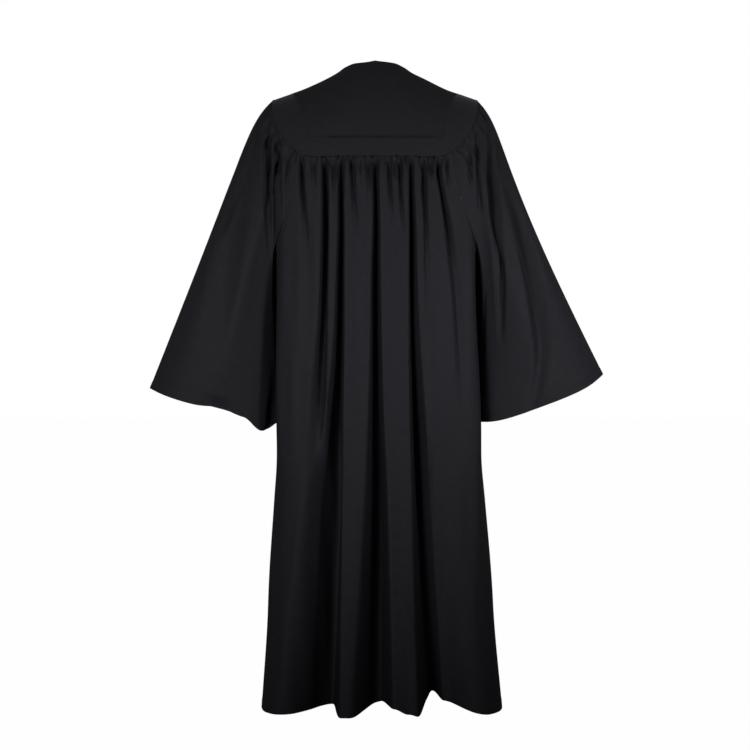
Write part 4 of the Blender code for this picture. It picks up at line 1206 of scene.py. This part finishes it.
sleeves = {side: build_sleeve(side) for side in (LEFT, RIGHT)}
for side, name in SIDES:
    piece = cloth_wall(
        f"{name}_sleeve_cloth", *sleeves[side], robe_cloth, f"sleeve_{name}", closed=True
    )
    print(name, "sleeve up to", away_from_solid(piece, f"sleeve_{name}"), "mm from its solid")

# %% [markdown]
# ## Cut sizes
#
# A Cut record has room for the size that a sheet of cloth was cut to before it was gathered and
# sewn: its piece, width, length, held and share. No sheet is filled in with one here.
# The gathered pieces are cut much wider than they hang. The last column is the share of that
# rectangle which is left when the armholes, slants and curves have been cut away.

Cut = namedtuple("Cut", "piece width length held share")

# %% [markdown]
# ## Floor, backdrop and light
#
# Black cloth shows its form only by the light on its folds. A soft lamp on the left, level with
# the chest, lights one wall of each fold and leaves the hollows black, and its light falls off
# towards the hem. A weaker one on the right fills in, and one on the far side lights the front,
# for a look from there. The white room adds an even glow. The pale floor runs into a background
# of the same brightness, so no horizon shows.

# %% Stage
FLOOR_DROP = 0.185         # the hem hangs this far above the floor
FLOOR_REACH = 30.0
WHITE = "#ffffff"
FLOOR_SHADE = 0.012        # share of the floor's look that takes light and shadow
FLOOR_BOUNCE = 0.01        # what the floor and the walls send back at the robe
ROOM_BOUNCE = 0.20
VALUE_FACTOR, VALUE_A, VALUE_B = 0, 2, 3   # a Mix node's sockets for plain values

low_z = cad_low.z - FLOOR_DROP
reach = FLOOR_REACH * np.array([[-1, -1], [1, -1], [1, 1], [-1, 1]])
floor_mesh = bpy.data.meshes.new("floor")
floor_mesh.from_pydata([(x, y, low_z) for x, y in reach.tolist()], [], [(0, 1, 2, 3)])
floor = bpy.data.objects.new("floor", floor_mesh)
bpy.context.scene.collection.objects.link(floor)
paper = bpy.data.materials.new("white_studio_paper")
paper.use_nodes = True
tree = paper.node_tree
tree.nodes.clear()
seen = add_node(tree, "ShaderNodeLightPath").outputs["Is Camera Ray"]
lit = add_node(tree, "ShaderNodeBsdfDiffuse", values=[("Color", linear("#f2f2f2"))])
glow = add_node(tree, "ShaderNodeEmission", values=[("Color", linear(WHITE))])
bounce = add_node(tree, "ShaderNodeEmission", values=[("Strength", FLOOR_BOUNCE)])
shown = add_node(
    tree, "ShaderNodeMixShader", [(glow.outputs[0], 1), (lit.outputs[0], 2)], [(0, FLOOR_SHADE)]
)
floor_look = add_node(
    tree, "ShaderNodeMixShader", [(seen, 0), (bounce.outputs[0], 1), (shown.outputs[0], 2)]
)
add_node(tree, "ShaderNodeOutputMaterial", [(floor_look.outputs[0], "Surface")])
floor_mesh.materials.append(paper)

world = bpy.data.worlds.new("studio")
world.use_nodes = True
bpy.context.scene.world = world
tree = world.node_tree
seen = add_node(tree, "ShaderNodeLightPath").outputs["Is Camera Ray"]
strength = add_node(
    tree, "ShaderNodeMix", [(seen, VALUE_FACTOR)], [(VALUE_A, ROOM_BOUNCE), (VALUE_B, 1.0)],
    data_type="FLOAT",
)
background = tree.nodes["Background"]
background.inputs["Color"].default_value = linear(WHITE)
tree.links.new(strength.outputs[0], background.inputs["Strength"])

# %% Lamps


def soft_lamp(name, place, aim, width, height, power, spread):
    """A rectangular softbox with a honeycomb grid at place, turned to aim. The grid narrows its
    beam to spread degrees, and the camera doesn't see it."""
    lamp = bpy.data.lights.new(name, "AREA")
    lamp.shape = "RECTANGLE"
    lamp.size, lamp.size_y, lamp.energy = width, height, power
    lamp.spread = np.radians(spread)
    holder = bpy.data.objects.new(name, lamp)
    holder.location = place
    holder.rotation_euler = (Vector(aim) - Vector(place)).to_track_quat("-Z", "Y").to_euler()
    holder.visible_camera = False
    bpy.context.scene.collection.objects.link(holder)


Lamp = namedtuple("Lamp", "name place aim width height power spread")
LAMPS = [
    Lamp("key_softbox", (-1.5, -2.9, -0.35), (-0.10, 0, -0.52), 1.2, 0.6, 3.6, 38),
    Lamp("fill_softbox", (2.3, -2.4, -0.35), (0.36, 0, -0.46), 0.8, 0.6, 2.2, 28),
    Lamp("rear_softbox", (0.35, 3.2, -0.30), (0, 0, -0.50), 0.7, 0.8, 7, 46),
]
for lamp in LAMPS:
    soft_lamp(*lamp)
bpy.context.scene.view_settings.view_transform = "Standard"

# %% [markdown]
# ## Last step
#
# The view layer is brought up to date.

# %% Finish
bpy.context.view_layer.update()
